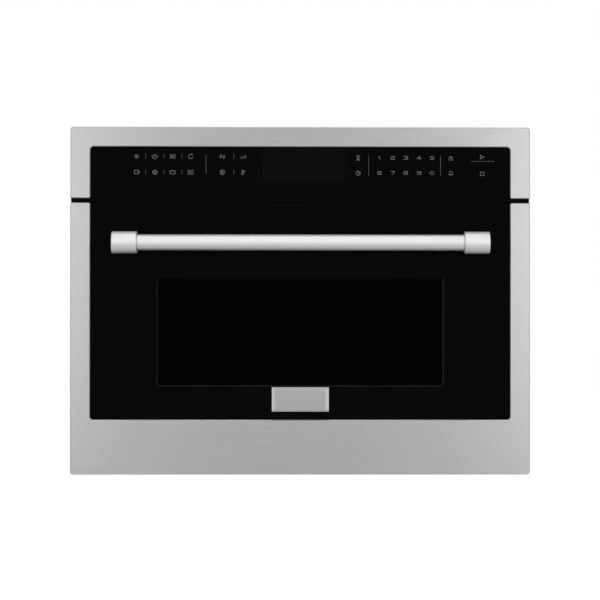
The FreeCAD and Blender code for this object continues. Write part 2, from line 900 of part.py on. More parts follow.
def claw_slots(body, low, high):
    """Openings that the hinge claws pass through, on both sides."""
    top = HINGE_Z + s.claw_eye + s.claw_play
    for side in (-1, 1):
        inner = side * (CLAW_LOW - s.claw_play)
        outer = side * (CLAW_HIGH + s.claw_play)
        pocket(body, "XZ", low, high, rect(inner, DOOR_BOTTOM - s.overrun, outer, top))


def hook_slots(body, low, high):
    """Openings that the latch hooks pass through, on both sides."""
    reach = s.hook_thick / 2 + s.slot_play_side
    rise = s.slot_play_rise
    for side in (-1, 1):
        x = side * HOOK_X
        pocket(body, "XZ", low, high, rect(x - reach, LATCH_Z - rise, x + reach, LATCH_Z + rise))


def rf_screen():
    """Thin steel screen behind the outer glass. Its fine perforation is left to the surface finish."""
    body = new_body("rf_screen")
    reach = s.screen_overlap
    pad(
        body,
        "XZ",
        TROUGH_FACE - s.screen_sheet,
        TROUGH_FACE,
        rect(-SCREEN_HALF - reach, SCREEN_LOW - reach, SCREEN_HALF + reach, SCREEN_HIGH + reach),
    )
    return body


def inner_glass():
    body = new_body("inner_glass")
    pad(
        body,
        "XZ",
        INNER_GLASS_FACE,
        DOOR_BACK,
        rect(-INNER_GLASS_HALF, INNER_GLASS_LOW, INNER_GLASS_HALF, INNER_GLASS_HIGH),
    )
    return body


def choke_cover():
    """Plastic ring that closes the choke trough, with a rib that snaps into it."""
    body = new_body("choke_cover")
    play = s.cover_play
    half, low, high = CHOKE_HALF - play, CHOKE_LOW + play, CHOKE_HIGH - play
    hole = rect(
        -INNER_GLASS_HALF - play, INNER_GLASS_LOW - play, INNER_GLASS_HALF + play, INNER_GLASS_HIGH + play
    )
    pad(body, "XZ", DOOR_BACK - s.cover_inset, DOOR_BACK + s.cover_proud, rect(-half, low, half, high), hole)
    rib = s.cover_rib
    rib_ring = ring_rect(half - rib, low + rib, high - rib, rib)
    pad(body, "XZ", DOOR_BACK - s.cover_rib_depth, DOOR_BACK - s.cover_inset, *rib_ring)
    proud = DOOR_BACK.value + s.cover_proud.value
    dress(body, "Chamfer", s.cover_proud / 2, lambda e: all(abs(v.Y - proud) < NEAR for v in e.Vertexes))
    return body


def door_top_trim():
    """Vented plastic strip that closes the top of the door behind the glass."""
    body = new_body("door_top_trim")
    wall = s.trim_wall
    pad(body, "XY", PAN_TOP, DOOR_TOP, rect(-GLASS_HALF, GLASS_BACK, GLASS_HALF, DOOR_BACK))
    hollow = rect(-GLASS_HALF + wall, GLASS_BACK + wall, GLASS_HALF - wall, DOOR_BACK - wall)
    pocket(body, "XY", PAN_TOP - s.overrun, DOOR_TOP - wall, hollow)
    vents = whole(2 * APERTURE_HALF / s.trim_vent_pitch) - 1
    reach = s.trim_vent_pitch * (vents - 1)
    left = -reach / 2 - s.trim_vent_length / 2
    middle = (GLASS_BACK + DOOR_BACK) / 2
    half = s.trim_vent_width / 2
    vent = rect(left, middle - half, left + s.trim_vent_length, middle + half)
    first = pocket(body, "XY", DOOR_TOP - wall - s.overrun, DOOR_TOP + s.overrun, vent)
    row(body, [first], "X", reach, vents)
    return body


def handle_bar():
    """Tube whose ends sit in the sockets of the two posts."""
    body = new_body("handle_bar")
    end = POST_INNER + s.bar_socket
    pad(
        body,
        "YZ",
        -end,
        end,
        disc(HANDLE_Y, HANDLE_Z, s.bar_radius),
        disc(HANDLE_Y, HANDLE_Z, s.bar_radius - s.bar_wall),
    )
    return body


def handle_post(label, side):
    """Turned end post: a barrel in line with the bar on a waisted foot that meets the glass."""
    body = new_body(label)
    reach = GLASS_FACE - HANDLE_Y
    revolve(
        body,
        poly(
            (0, 0),
            (s.foot_radius, 0),
            (s.foot_radius, s.foot_thick / 2),
            (s.neck_radius, s.foot_thick),
            (s.neck_radius, reach),
            (0, reach),
        ),
    )
    half = s.post_length / 2
    pad(body, "YZ", -half, half, disc(0, reach, s.post_radius))
    mouth = -side * half
    bottom = -side * (half - s.bar_socket)
    low, high = (bottom, mouth + s.overrun) if side < 0 else (mouth - s.overrun, bottom)
    pocket(body, "YZ", low, high, disc(0, reach, s.bar_radius + s.bar_play))
    pocket(body, "XY", -s.overrun, s.screw_grip, disc(0, 0, s.screw_radius + s.running_play))
    dress(body, "Chamfer", s.post_edge, lambda e: barrel_rim(e, half))
    place(body, side * POST_X, GLASS_FACE, HANDLE_Z, turn=((1, 0, 0), 90))
    return body


def barrel_rim(edge, half):
    """True for the two round rims of a post's barrel."""
    if not isinstance(edge.Curve, Part.Circle):
        return False
    return abs(edge.Curve.Radius - s.post_radius.value) < NEAR and beside(edge, x=half)


def handle_screws():
    """Screws that hold the posts through the glass from inside the choke trough."""
    body = new_body("handle_screw")
    seat = TROUGH_FACE + s.pan_sheet - GLASS_FACE
    revolve(
        body,
        poly(
            (0, -s.screw_grip),
            (s.screw_radius, -s.screw_grip),
            (s.screw_radius, seat),
            (s.screw_head_radius, seat),
            (s.screw_head_radius, seat + s.screw_head_height),
            (0, seat + s.screw_head_height),
        ),
    )
    place(body, POST_X, GLASS_FACE, HANDLE_Z, turn=((1, 0, 0), -90))
    return pair("handle_screws", body)


def plaque():
    """Bare steel plate on the door glass, with broad bevelled sides."""
    body = new_body("plaque")
    half, rise = s.plaque_width / 2, s.plaque_height / 2
    middle = APERTURE_BOTTOM + s.plaque_rise
    face = GLASS_FACE - s.plaque_thick
    pad(body, "XZ", face, GLASS_FACE, rect(-half, middle - rise, half, middle + rise))
    dress(body, "Chamfer", s.plaque_bevel, lambda e: all(abs(v.Y - face.value) < NEAR for v in e.Vertexes))
    return body


# Hinges


def hinge_channels():
    """U-channels inside the door that hold the hinge pins and their springs."""
    body = new_body("hinge_channel")
    sheet = s.channel_sheet
    inner, outer = HINGE_X - s.channel_inboard, HINGE_X + s.channel_outboard
    back = DOOR_BACK - s.pan_sheet
    low = CHANNEL_LOW
    top = low + s.channel_height
    pad(body, "XY", low, top, rect(inner, back - s.channel_depth, outer, back))
    hollow = rect(inner + sheet, back - s.channel_depth - s.overrun, outer - sheet, back - sheet)
    pocket(body, "XY", low - s.overrun, top + s.overrun, hollow)
    bore = disc(HINGE_Y, HINGE_Z, s.pin_radius + s.running_play)
    pocket(body, "YZ", inner - s.overrun, outer + s.overrun, bore)
    claw_top = HINGE_Z + s.claw_eye + s.claw_play
    slot = rect(CLAW_LOW - s.claw_play, low - s.overrun, CLAW_HIGH + s.claw_play, claw_top)
    pocket(body, "XZ", back - sheet - s.overrun, back + s.overrun, slot)
    return pair("hinge_channels", body)


def channel_middle():
    """Middle of a hinge channel, across and front to back."""
    x = HINGE_X + (s.channel_outboard - s.channel_inboard) / 2
    return x, DOOR_BACK - s.pan_sheet - s.channel_depth / 2


def spring_anchor():
    """Height of the cross pin that a hinge spring hangs from."""
    return CHANNEL_LOW + s.channel_height - s.spring_anchor_drop


def hinge_pins():
    """Pivot pins of the door, and the cross pins that the springs hang from."""
    body = new_body("hinge_pin")
    low, high = HINGE_X - s.channel_inboard, HINGE_X + s.channel_outboard
    pad(body, "YZ", low, high, disc(HINGE_Y, HINGE_Z, s.pin_radius))
    anchor = disc(channel_middle()[1], spring_anchor(), s.spring_anchor_radius)
    pad(body, "YZ", low + s.channel_sheet, high - s.channel_sheet, anchor)
    return pair("hinge_pins", body)


def hinge_springs():
    """Tension springs in the channels, each a close-wound sleeve on a rod that hangs by an eye."""
    body = new_body("hinge_spring")
    x, y = channel_middle()
    foot = CHANNEL_LOW + s.spring_rod_foot - spring_anchor()
    top = -s.spring_neck
    low = top - s.spring_length
    rod, coil = s.spring_rod_radius, s.spring_radius
    revolve(
        body,
        poly((0, foot), (rod, foot), (rod, low), (coil, low), (coil, top), (rod, top), (rod, 0), (0, 0)),
    )
    half = s.spring_eye_width / 2
    pad(body, "YZ", -half, half, disc(0, 0, s.spring_eye_radius))
    hole = disc(0, 0, s.spring_anchor_radius + s.running_play)
    pocket(body, "YZ", -half - s.overrun, half + s.overrun, hole)
    place(body, x, y, spring_anchor())
    return pair("hinge_springs", body)


def hinge_claws():
    """Flat steel claws that stand out of the chassis and carry the door on their eyes."""
    body = new_body("hinge_claw")
    end = HINGE_Y + s.claw_reach
    pad(body, "YZ", CLAW_LOW, CLAW_HIGH, disc(HINGE_Y, HINGE_Z, s.claw_eye))
    arm = rect(HINGE_Y, HINGE_Z - s.claw_half_height, end, HINGE_Z + s.claw_half_height)
    pad(body, "YZ", CLAW_LOW, CLAW_HIGH, arm)
    bore = disc(HINGE_Y, HINGE_Z, s.pin_radius + s.running_play)
    pocket(body, "YZ", CLAW_LOW - s.overrun, CLAW_HIGH + s.overrun, bore)
    return pair("hinge_claws", body)


def hinge_brackets():
    """U-brackets behind the front plate that clamp the claws and stand on the base plate."""
    body = new_body("hinge_bracket")
    wall = s.bracket_sheet
    end = HINGE_Y + s.claw_reach
    top = HINGE_Z - s.claw_half_height
    block = rect(CLAW_LOW - wall, PLATE_BACK, CLAW_HIGH + wall, end)
    pad(body, "XY", s.case_sheet, top + s.bracket_wall, block)
    gap = rect(CLAW_LOW, PLATE_BACK - s.overrun, CLAW_HIGH, end + s.overrun)
    pocket(body, "XY", top, top + s.bracket_wall + s.overrun, gap)
    return pair("hinge_brackets", body)


# Latch and interlock


def latch_bar():
    """Steel bar across the top of the door with a moulded hook near each end."""
    body = new_body("latch_bar")
    half = s.hook_thick / 2
    reach = HOOK_X + half
    pad(body, "YZ", -reach, reach, disc(LATCH_Y, LATCH_Z, s.latch_bar_radius))
    below, above = LATCH_Z - s.arm_below, LATCH_Z + s.arm_above
    barb = HOOK_TIP - s.barb_length
    outline = poly(
        (LATCH_Y - s.arm_above, below),
        (barb, below),
        (barb + s.barb_ramp, below - s.barb_drop),
        (HOOK_TIP - s.barb_ramp, below - s.barb_drop),
        (HOOK_TIP, below),
        (HOOK_TIP, above),
        (LATCH_Y - s.arm_above, above),
    )
    hook = pad(body, "YZ", HOOK_X - half, HOOK_X + half, outline)
    mirror(body, [hook])
    return body


def catch_boxes():
    """Plastic boxes behind the front plate with the sill that the hooks catch on."""
    body = new_body("catch_box")
    half, wall = s.catch_box_half, s.catch_box_wall
    left, right = HOOK_X - half, HOOK_X + half
    low, high = LATCH_Z - s.catch_box_below, LATCH_Z + s.catch_box_above
    back = PLATE_BACK + s.catch_box_depth
    pad(body, "XZ", PLATE_BACK, back, rect(left, low, right, high))
    hollow = rect(left + wall, low + wall, right - wall, high - wall)
    pocket(body, "XZ", PLATE_BACK - s.overrun, back - wall, hollow)
    sill_top = LATCH_Z - s.arm_below - s.catch_play
    sill = PLATE_BACK + s.catch_start
    end = sill + s.catch_length
    pad(
        body,
        "YZ",
        left + wall,
        right - wall,
        poly(
            (sill, low + wall),
            (end, low + wall),
            (end, sill_top - s.barb_drop),
            (end - s.barb_ramp, sill_top),
            (sill + s.catch_lead, sill_top),
        ),
    )
    pivot = disc(lever_y(), lever_z(), s.lever_pin_radius + s.running_play)
    pocket(body, "YZ", left - s.overrun, right + s.overrun, pivot)
    return pair("catch_boxes", body)


def lever_y():
    return HOOK_TIP + s.lever_play + s.lever_thick / 2


def lever_z():
    return LATCH_Z + s.lever_pivot_rise


def interlock_levers():
    """Levers that the hooks push back onto the switches, hung on pins in the catch boxes."""
    body = new_body("interlock_lever")
    y, z = lever_y(), lever_z()
    left, right = HOOK_X - s.lever_half, HOOK_X + s.lever_half
    pad(body, "YZ", left, right, disc(y, z, s.lever_eye))
    blade = rect(y - s.lever_thick / 2, LATCH_Z - s.lever_below, y + s.lever_thick / 2, z)
    pad(body, "YZ", left, right, blade)
    end = s.catch_box_half
    pad(body, "YZ", HOOK_X - end, HOOK_X + end, disc(y, z, s.lever_pin_radius))
    return pair("interlock_levers", body)


def interlock_switches():
    """Snap switches behind the levers: one in the left box and two in the right."""
    gap = s.catch_box_half - s.catch_box_wall - s.switch_width
    shifts = {"left": (-HOOK_X, 1), "right_inner": (HOOK_X, -1), "right_outer": (HOOK_X, 1)}
    solids = []
    for name, (x, side) in shifts.items():
        body = new_body(f"switch_{name}")
        inner, outer = side * gap, side * (gap + s.switch_width)
        low, high = (inner, outer) if side > 0 else (outer, inner)
        start = lever_y() + s.lever_thick / 2 + s.switch_gap
        foot, top = LATCH_Z - s.switch_below, LATCH_Z + s.switch_above
        pad(body, "YZ", x + low, x + high, rect(start, foot, start + s.switch_depth, top))
        tip = start - s.switch_gap + s.lever_play
        middle, rise, half = x + (low + high) / 2, LATCH_Z + s.plunger_rise, s.plunger_side / 2
        pad(body, "XZ", tip, start, rect(middle - half, rise - half, middle + half, rise + half))
        solids.append(body)
    group = doc.addObject("Part::Compound", "interlock_switches")
    group.Links = solids
    group.Label = "interlock_switches"
    return group


# Control panel


def control_frame():
    """Folded steel surround of the control panel, open at the bottom."""
    body = new_body("control_frame")
    skin = s.fascia_skin
    pad(body, "XZ", FACE, FRONT, rect(-FASCIA_HALF, PANEL_BOTTOM, FASCIA_HALF, FASCIA_TOP))
    dress(body, "Fillet", s.fascia_corner, corner_at(FASCIA_HALF, FASCIA_TOP))
    inner = rect(-FASCIA_HALF + skin, PANEL_BOTTOM + skin, FASCIA_HALF - skin, FASCIA_TOP - skin)
    pocket(body, "XZ", FACE + skin, FRONT + s.overrun, inner)
    corner = s.fascia_corner - skin
    dress(body, "Fillet", corner, corner_at(FASCIA_HALF - skin, FASCIA_TOP - skin))
    lip = APERTURE_HALF + skin
    pad(body, "XZ", FACE + skin, GLASS_BACK, rect(-lip, PANEL_BOTTOM, lip, APERTURE_TOP + skin))
    hole = rect(-APERTURE_HALF, PANEL_BOTTOM - s.overrun, APERTURE_HALF, APERTURE_TOP)
    pocket(body, "XZ", FACE - s.overrun, FRONT + s.overrun, hole)
    dress(body, "Fillet", s.aperture_corner, corner_at(APERTURE_HALF, APERTURE_TOP))
    dress(body, "Fillet", s.stile_corner, corner_at(APERTURE_HALF, PANEL_BOTTOM))
    dress(body, "Chamfer", s.skin_bevel, on_front_rim)
    outer, top = FASCIA_HALF - skin, FASCIA_TOP - skin
    inner, under = outer - s.return_flange, top - s.return_flange
    foot = PANEL_BOTTOM + skin
    left_leg = (-outer, top), (-outer, foot), (-inner, foot), (-inner, under)
    right_leg = (inner, under), (inner, foot), (outer, foot), (outer, top)
    flange = poly(*left_leg, *right_leg)
    pad(body, "XZ", FRONT - skin, FRONT, flange)
    return body


def control_glass():
    """Black touch glass of the control panel."""
    body = new_body("control_glass")
    top = APERTURE_TOP - s.glass_play
    pad(body, "XZ", GLASS_FACE, GLASS_BACK, rect(-GLASS_HALF, PANEL_BOTTOM, GLASS_HALF, top))
    corner = s.aperture_corner - s.glass_play
    dress(body, "Fillet", corner, corner_at(GLASS_HALF, top))
    return body


def wiring_hole(middle):
    """Outline of the hole that the panel's wiring goes through."""
    half, rise = s.wiring_width / 2, s.wiring_height / 2
    return rect(-half, middle - rise, half, middle + rise)


def control_carrier():
    """Plastic tray behind the touch glass that carries the board, screwed to the front plate."""
    body = new_body("control_carrier")
    wall = s.carrier_wall
    top = APERTURE_TOP - s.glass_play
    pad(body, "XZ", GLASS_BACK, FRONT, rect(-GLASS_HALF, PANEL_BOTTOM, GLASS_HALF, top))
    corner = s.aperture_corner - s.glass_play
    dress(body, "Fillet", corner, corner_at(GLASS_HALF, top))
    hollow = rect(-GLASS_HALF + wall, PANEL_BOTTOM + wall, GLASS_HALF - wall, top - wall)
    pocket(body, "XZ", GLASS_BACK - s.overrun, FRONT - wall, hollow)
    half, rise = BOARD_HALF, s.board_height / 2
    middle = (PANEL_BOTTOM + top) / 2
    side = s.standoff_side
    posts = [
        rect(u, v, u + side, v + side)
        for u in (-half, half - side)
        for v in (middle - rise, middle + rise - side)
    ]
    pad(body, "XZ", FRONT - wall - s.board_standoff, FRONT - wall, *posts)
    wiring = wiring_hole(middle)
    pocket(body, "XZ", FRONT - wall - s.overrun, FRONT + s.overrun, wiring)
    return body


def control_board():
    body = new_body("control_board")
    half, rise = BOARD_HALF, s.board_height / 2
    middle = (PANEL_BOTTOM + APERTURE_TOP - s.glass_play) / 2
    back = FRONT - s.carrier_wall - s.board_standoff
    pad(body, "XZ", back - s.board_thick, back, rect(-half, middle - rise, half, middle + rise))
    return body


def display_module():
    """Display behind the touch glass: a block with a framed lens recess."""
    body = new_body("display_module")
    half = s.display_width / 2
    top = APERTURE_TOP - s.glass_play - s.display_top_gap
    low = top - s.display_height
    back = FRONT - s.carrier_wall - s.board_standoff - s.board_thick
    pad(body, "XZ", GLASS_BACK, back, rect(-half, low, half, top))
    edge = s.display_frame
    pocket(
        body,
        "XZ",
        GLASS_BACK - s.overrun,
        GLASS_BACK + s.display_lens_recess,
        rect(-half + edge, low + edge, half - edge, top - edge),
    )
    return body


# Chassis


def front_plate():
    """Steel plate round the cavity's mouth, which fixes the oven to the cupboard and carries the front."""
    body = new_body("front_plate")
    half = FASCIA_HALF - s.plate_inset
    low, high = s.fascia_lift + s.plate_inset, FASCIA_TOP - s.plate_inset
    mouth = rect(-CAVITY_HALF, CAVITY_FLOOR, CAVITY_HALF, CAVITY_TOP)
    pad(body, "XZ", FRONT, PLATE_BACK, rect(-half, low, half, high), mouth)
    fix_x = half - s.fixing_edge
    holes = [
        disc(side * fix_x, z, s.fixing_radius)
        for side in (-1, 1)
        for z in (s.fixing_low, FIXING_HIGH)
    ]
    pocket(body, "XZ", FRONT - s.overrun, PLATE_BACK + s.overrun, *holes)
    middle = (PANEL_BOTTOM + APERTURE_TOP - s.glass_play) / 2
    wiring = wiring_hole(middle)
    pocket(body, "XZ", FRONT - s.overrun, PLATE_BACK + s.overrun, wiring)
    claw_slots(body, FRONT - s.overrun, PLATE_BACK + s.overrun)
    hook_slots(body, FRONT - s.overrun, PLATE_BACK + s.overrun)
    return body


def base_plate():
    """Galvanised floor of the chassis, with lips folded up along its sides and back."""
    body = new_body("base_plate")
    sheet = s.case_sheet
    half = CASE_HALF - sheet
    back = REAR - sheet
    pad(body, "XY", 0, sheet, rect(-half, PLATE_BACK, half, back))
    for side in (-1, 1):
        pad(body, "XY", 0, sheet + s.case_lip, rect(side * (half - sheet), PLATE_BACK, side * half, back))
    pad(body, "XY", 0, sheet + s.case_lip, rect(-half, back - sheet, half, back))
    high = back - s.floor_vent_setback
    slot = upright_slot(s.floor_vent_inset, high - s.louvre_length, s.louvre_width, high)
    first = pocket(body, "XY", -s.overrun, sheet + s.overrun, slot)
    row(body, [first], "X", s.louvre_pitch * (COUNTS["floor_vents"] - 1), COUNTS["floor_vents"])
    return body


def cabinet_wrap():
    """Folded top and sides of the chassis, slotted where the cooling air leaves."""
    body = new_body("cabinet_wrap")
    sheet = s.case_sheet
    pad(body, "XZ", PLATE_BACK, REAR - sheet, rect(-CASE_HALF, sheet, CASE_HALF, CASE_TOP))
    inner = rect(-CASE_HALF + sheet, -s.overrun, CASE_HALF - sheet, CASE_TOP - sheet)
    pocket(body, "XZ", PLATE_BACK - s.overrun, REAR + s.overrun, inner)
    reach = s.louvre_pitch * (COUNTS["side_louvres"] - 1)
    start = REAR - s.louvre_margin - reach - s.louvre_width
    top = CASE_TOP - s.louvre_margin
    slot = upright_slot(start, top - s.louvre_length, s.louvre_width, top)
    first = pocket(body, "YZ", -CASE_HALF - s.overrun, CASE_HALF + s.overrun, slot)
    row(body, [first], "Y", reach, COUNTS["side_louvres"])
    roof_beads(body)
    side_beads(body)
    return body


def bead_row(middle, low, high, inset):
    """Outlines of a row of beads across a middle line, drawn in by an inset."""
    width = s.bead_width - 2 * inset
    start = middle - s.bead_pitch * (COUNTS["beads"] - 1) / 2 - width / 2
    places = [start + s.bead_pitch * index for index in range(COUNTS["beads"])]
    return [upright_slot(place_low, low + inset, width, high - inset) for place_low in places]


def roof_beads(body):
    """Beads pressed outwards along the roof of the chassis."""
    low, high = PLATE_BACK + s.bead_margin, REAR - s.bead_margin
    outer, inner = CASE_TOP + s.bead_rise, CASE_TOP - s.case_sheet
    pad(body, "XY", CASE_TOP, outer, *bead_row(as_size(0), low, high, as_size(0)))
    hollow = bead_row(as_size(0), low, high, s.case_sheet)
    pocket(body, "XY", inner - s.overrun, outer - s.case_sheet, *hollow)


def side_beads(body):
    """Upright beads pressed outwards in both sides of the chassis."""
    middle = (PLATE_BACK + REAR) / 2 - s.bead_width
    low, high = s.bead_foot, CASE_TOP - s.bead_head
    outer, inner = CASE_HALF + s.bead_rise, CASE_HALF - s.case_sheet
    ridge = pad(body, "YZ", CASE_HALF, outer, *bead_row(middle, low, high, as_size(0)))
    hollow = bead_row(middle, low, high, s.case_sheet)
    groove = pocket(body, "YZ", inner - s.overrun, outer - s.case_sheet, *hollow)
    mirror(body, [ridge, groove])


def rear_panel():
    """Flat back of the chassis with an intake grille and the hole for the mains entry."""
    body = new_body("rear_panel")
    sheet = s.case_sheet
    pad(body, "XZ", REAR - sheet, REAR, rect(-CASE_HALF, sheet, CASE_HALF, CASE_TOP))
    hole = disc(GLAND_X, s.gland_z, s.gland_body + s.gland_play)
    pocket(body, "XZ", REAR - sheet - s.overrun, REAR + s.overrun, hole)
    reach = s.louvre_pitch * (COUNTS["rear_louvres"] - 1)
    left = BLOWER_X - reach / 2 - s.louvre_width / 2
    top = CASE_TOP - s.louvre_margin
    slot = upright_slot(left, top - s.louvre_length, s.louvre_width, top)
    first = pocket(body, "XZ", REAR - sheet - s.overrun, REAR + s.overrun, slot)
    row(body, [first], "X", reach, COUNTS["rear_louvres"])
    turns = [2 * math.pi * index / COUNTS["motor_vents"] for index in range(COUNTS["motor_vents"])]
    lengths = s.motor_vent_inner, s.motor_vent_outer, s.motor_vent_width
    vents = [spoke(as_size(0), FAN_Z, *lengths, turn) for turn in turns]
    pocket(body, "XZ", REAR - sheet - s.overrun, REAR + s.overrun, *vents)
    return body


def cavity_wrap():
    """Roof and two sides of the cooking cavity, folded from one sheet, with the feed and lamp openings."""
    body = new_body("cavity_wrap")
    sheet = s.cavity_sheet
    outer = CAVITY_HALF + sheet
    pad(body, "XZ", PLATE_BACK, CAVITY_BACK, rect(-outer, CAVITY_FLOOR - sheet, outer, ROOF))
    inner = rect(-CAVITY_HALF, CAVITY_FLOOR - sheet - s.overrun, CAVITY_HALF, CAVITY_TOP)
    pocket(body, "XZ", PLATE_BACK - s.overrun, CAVITY_BACK + s.overrun, inner)
    left, front = feed_corner()
    feed = rect(left, front, left + s.feed_width, front + s.feed_depth)
    pocket(body, "XY", CAVITY_TOP - s.overrun, ROOF + s.overrun, feed)
    y, z = LAMP_Y, LAMP_Z
    lamp = disc(y, z, s.lamp_opening / 2)
    pocket(body, "YZ", CAVITY_HALF - s.overrun, outer + s.overrun, lamp)
    return body


def feed_corner():
    """Left and front edge of the microwave feed opening in the cavity roof."""
    left = GUIDE_LEFT + s.guide_sheet + s.mica_margin
    front = GUIDE_FRONT + (s.guide_width - s.feed_depth) / 2
    return left, front


def cavity_floor():
    """Floor of the cavity with a shallow ring that guides the rollers and a hole for the drive shaft."""
    body = new_body("cavity_floor")
    low = CAVITY_FLOOR - s.cavity_sheet
    pad(body, "XY", low, CAVITY_FLOOR, rect(-CAVITY_HALF, PLATE_BACK, CAVITY_HALF, CAVITY_BACK))
    pocket(body, "XY", low - s.overrun, CAVITY_FLOOR + s.overrun, disc(0, TURN_Y, s.shaft_floor_hole))
    inner = ROLLER_TRACK + s.roller_width
    pad(
        body,
        "XY",
        CAVITY_FLOOR,
        CAVITY_FLOOR + s.track_rise,
        disc(0, TURN_Y, inner + s.track_width),
        disc(0, TURN_Y, inner),
    )
    return body


def cavity_back():
    """Back wall of the cavity with a round opening for the fan."""
    body = new_body("cavity_back")
    outer = CAVITY_HALF + s.cavity_sheet
    low = CAVITY_FLOOR - s.cavity_sheet
    pad(
        body,
        "XZ",
        CAVITY_BACK,
        CAVITY_BACK + s.cavity_sheet,
        rect(-outer, low, outer, ROOF),
        disc(0, FAN_Z, GUARD_OPENING),
    )
    return body


def fan_guard():
    """Dished and perforated steel cover over the fan, fixed to the cavity's back wall."""
    body = new_body("fan_guard")
    sheet, dish = s.guard_sheet, s.guard_dish
    rim = GUARD_OPENING - dish
    revolve(
        body,
        poly(
            (0, dish),
            (rim - dish, dish),
            (rim, 0),
            (GUARD_RADIUS, 0),
            (GUARD_RADIUS, sheet),
            (rim, sheet),
            (rim - dish, dish + sheet),
            (0, dish + sheet),
        ),
    )
    low, high = dish - s.overrun, dish + sheet + s.overrun
    sides = COUNTS["guard_hole_sides"]
    pocket(body, "XY", low, high, polygon(as_size(0), as_size(0), s.guard_hole_radius, sides))
    rings = whole((rim - s.guard_hole_radius) / s.guard_hole_pitch)
    for ring in range(1, rings + 1):
        hole = polygon(s.guard_hole_pitch * ring, as_size(0), s.guard_hole_radius, sides)
        first = pocket(body, "XY", low, high, hole)
        polar(body, [first], COUNTS["guard_holes_per_step"] * ring)
    place(body, 0, CAVITY_BACK, FAN_Z, turn=((1, 0, 0), 90))
    return body


# Convection fan


def fan_duct():
    """Round sheet-metal drum behind the cavity that holds the fan and the ring heater."""
    body = new_body("fan_duct")
    sheet = s.fan_duct_sheet
    outer, depth = DUCT_RADIUS, s.fan_duct_depth
    revolve(
        body,
        poly(
            (s.fan_shaft_hole, depth - sheet),
            (outer - sheet, depth - sheet),
            (outer - sheet, 0),
            (outer + s.fan_duct_flange, 0),
            (outer + s.fan_duct_flange, sheet),
            (outer, sheet),
            (outer, depth),
            (s.fan_shaft_hole, depth),
        ),
    )
    rise = chord(HEATER_RADIUS, s.heater_terminal_side)
    holes = [
        disc(side * s.heater_terminal_side, rise, s.heater_tube_radius + s.heater_play) for side in (-1, 1)
    ]
    pocket(body, "XY", depth - sheet - s.overrun, depth + s.overrun, *holes)
    place(body, 0, CAVITY_BACK + s.cavity_sheet, FAN_Z, turn=((1, 0, 0), -90))
    return body


def convection_fan():
    """Sheet-metal fan wheel with bent-up blades on a hub and its shaft."""
    body = new_body("convection_fan")
    sheet = s.fan_sheet
    tail = s.fan_duct_depth / 2 + s.fan_motor_length * SHAFT_SHARE
    revolve(
        body,
        poly(
            (0, -s.fan_hub_length / 2),
            (s.fan_hub_radius, -s.fan_hub_length / 2),
            (s.fan_hub_radius, 0),
            (FAN_RADIUS - s.blade_overhang, 0),
            (FAN_RADIUS - s.blade_overhang, sheet),
            (s.fan_hub_radius, sheet),
            (s.fan_hub_radius, s.fan_hub_length / 2),
            (s.fan_shaft_radius, s.fan_hub_length / 2),
            (s.fan_shaft_radius, tail),
            (0, tail),
        ),
    )
    lean = s.fan_blade_lean
    blade = pad(
        body,
        "XY",
        -s.fan_blade_height / 2,
        s.fan_blade_height / 2,
        poly(
            (s.fan_hub_radius + s.blade_root, 0),
            (FAN_RADIUS, lean),
            (FAN_RADIUS, lean + sheet),
            (s.fan_hub_radius + s.blade_root, sheet),
        ),
    )
    polar(body, [blade], COUNTS["fan_blades"])
    place(body, 0, fan_y(), FAN_Z, turn=((1, 0, 0), -90))
    return body


def fan_y():
    """Plane of the fan wheel's disc."""
    return CAVITY_BACK + s.cavity_sheet + s.fan_duct_depth / 2


def heater_ring():
    """Tubular ring heater round the fan, with two terminals through the back of the duct."""
    body = new_body("heater_ring")
    tube = s.heater_tube_radius
    revolve(body, polygon(HEATER_RADIUS, as_size(0), tube, COUNTS["heater_tube_sides"]))
    rise = chord(HEATER_RADIUS, s.heater_terminal_side)
    legs = [disc(side * s.heater_terminal_side, rise, tube) for side in (-1, 1)]
    pad(body, "XY", 0, s.fan_duct_depth / 2 + s.heater_terminal_length, *legs)
    place(body, 0, fan_y(), FAN_Z, turn=((1, 0, 0), -90))
    return body


def fan_motor():
    """Shaded-pole motor on the back of the fan duct, with its foot flange."""
    body = new_body("fan_motor")
    play = s.running_play
    revolve(
        body,
        poly(
            (s.fan_shaft_radius + play, 0),
            (s.fan_motor_foot, 0),
            (s.fan_motor_foot, s.fan_motor_foot_thick),
            (s.fan_motor_radius, s.fan_motor_foot_thick),
            (s.fan_motor_radius, s.fan_motor_length),
            (0, s.fan_motor_length),
            (0, s.fan_motor_length * BORE_SHARE),
            (s.fan_shaft_radius + play, s.fan_motor_length * BORE_SHARE),
        ),
    )
    place(body, 0, CAVITY_BACK + s.cavity_sheet + s.fan_duct_depth, FAN_Z, turn=((1, 0, 0), -90))
    return body


# Turntable


def turntable_tray():
    """Glass tray with a raised rim and three lugs under its middle for the coupler."""
    body = new_body("turntable_tray")
    outer, thick = TRAY_RADIUS, s.tray_thick
    rim = outer - s.tray_rim_width
    revolve(
        body,
        poly(
            (0, 0),
            (rim, 0),
            (outer, s.tray_rim_rise),
            (outer, s.tray_rim_rise + thick),
            (outer - thick / 2, s.tray_rim_rise + thick),
            (rim - thick / 2, thick),
            (0, thick),
        ),
    )
    lug = pad(
        body,
        "XY",
        -s.tray_lug_height,
        0,
        rect(
            s.tray_lug_radius - s.tray_lug_length / 2,
            -s.tray_lug_width / 2,
            s.tray_lug_radius + s.tray_lug_length / 2,
            s.tray_lug_width / 2,
        ),
    )
    polar(body, [lug], COUNTS["tray_lugs"])
    place(body, 0, TURN_Y, tray_bottom())
    return body


def roller_z():
    return CAVITY_FLOOR + s.roller_play + s.roller_radius


def tray_bottom():
    return roller_z() + s.roller_radius + s.roller_play


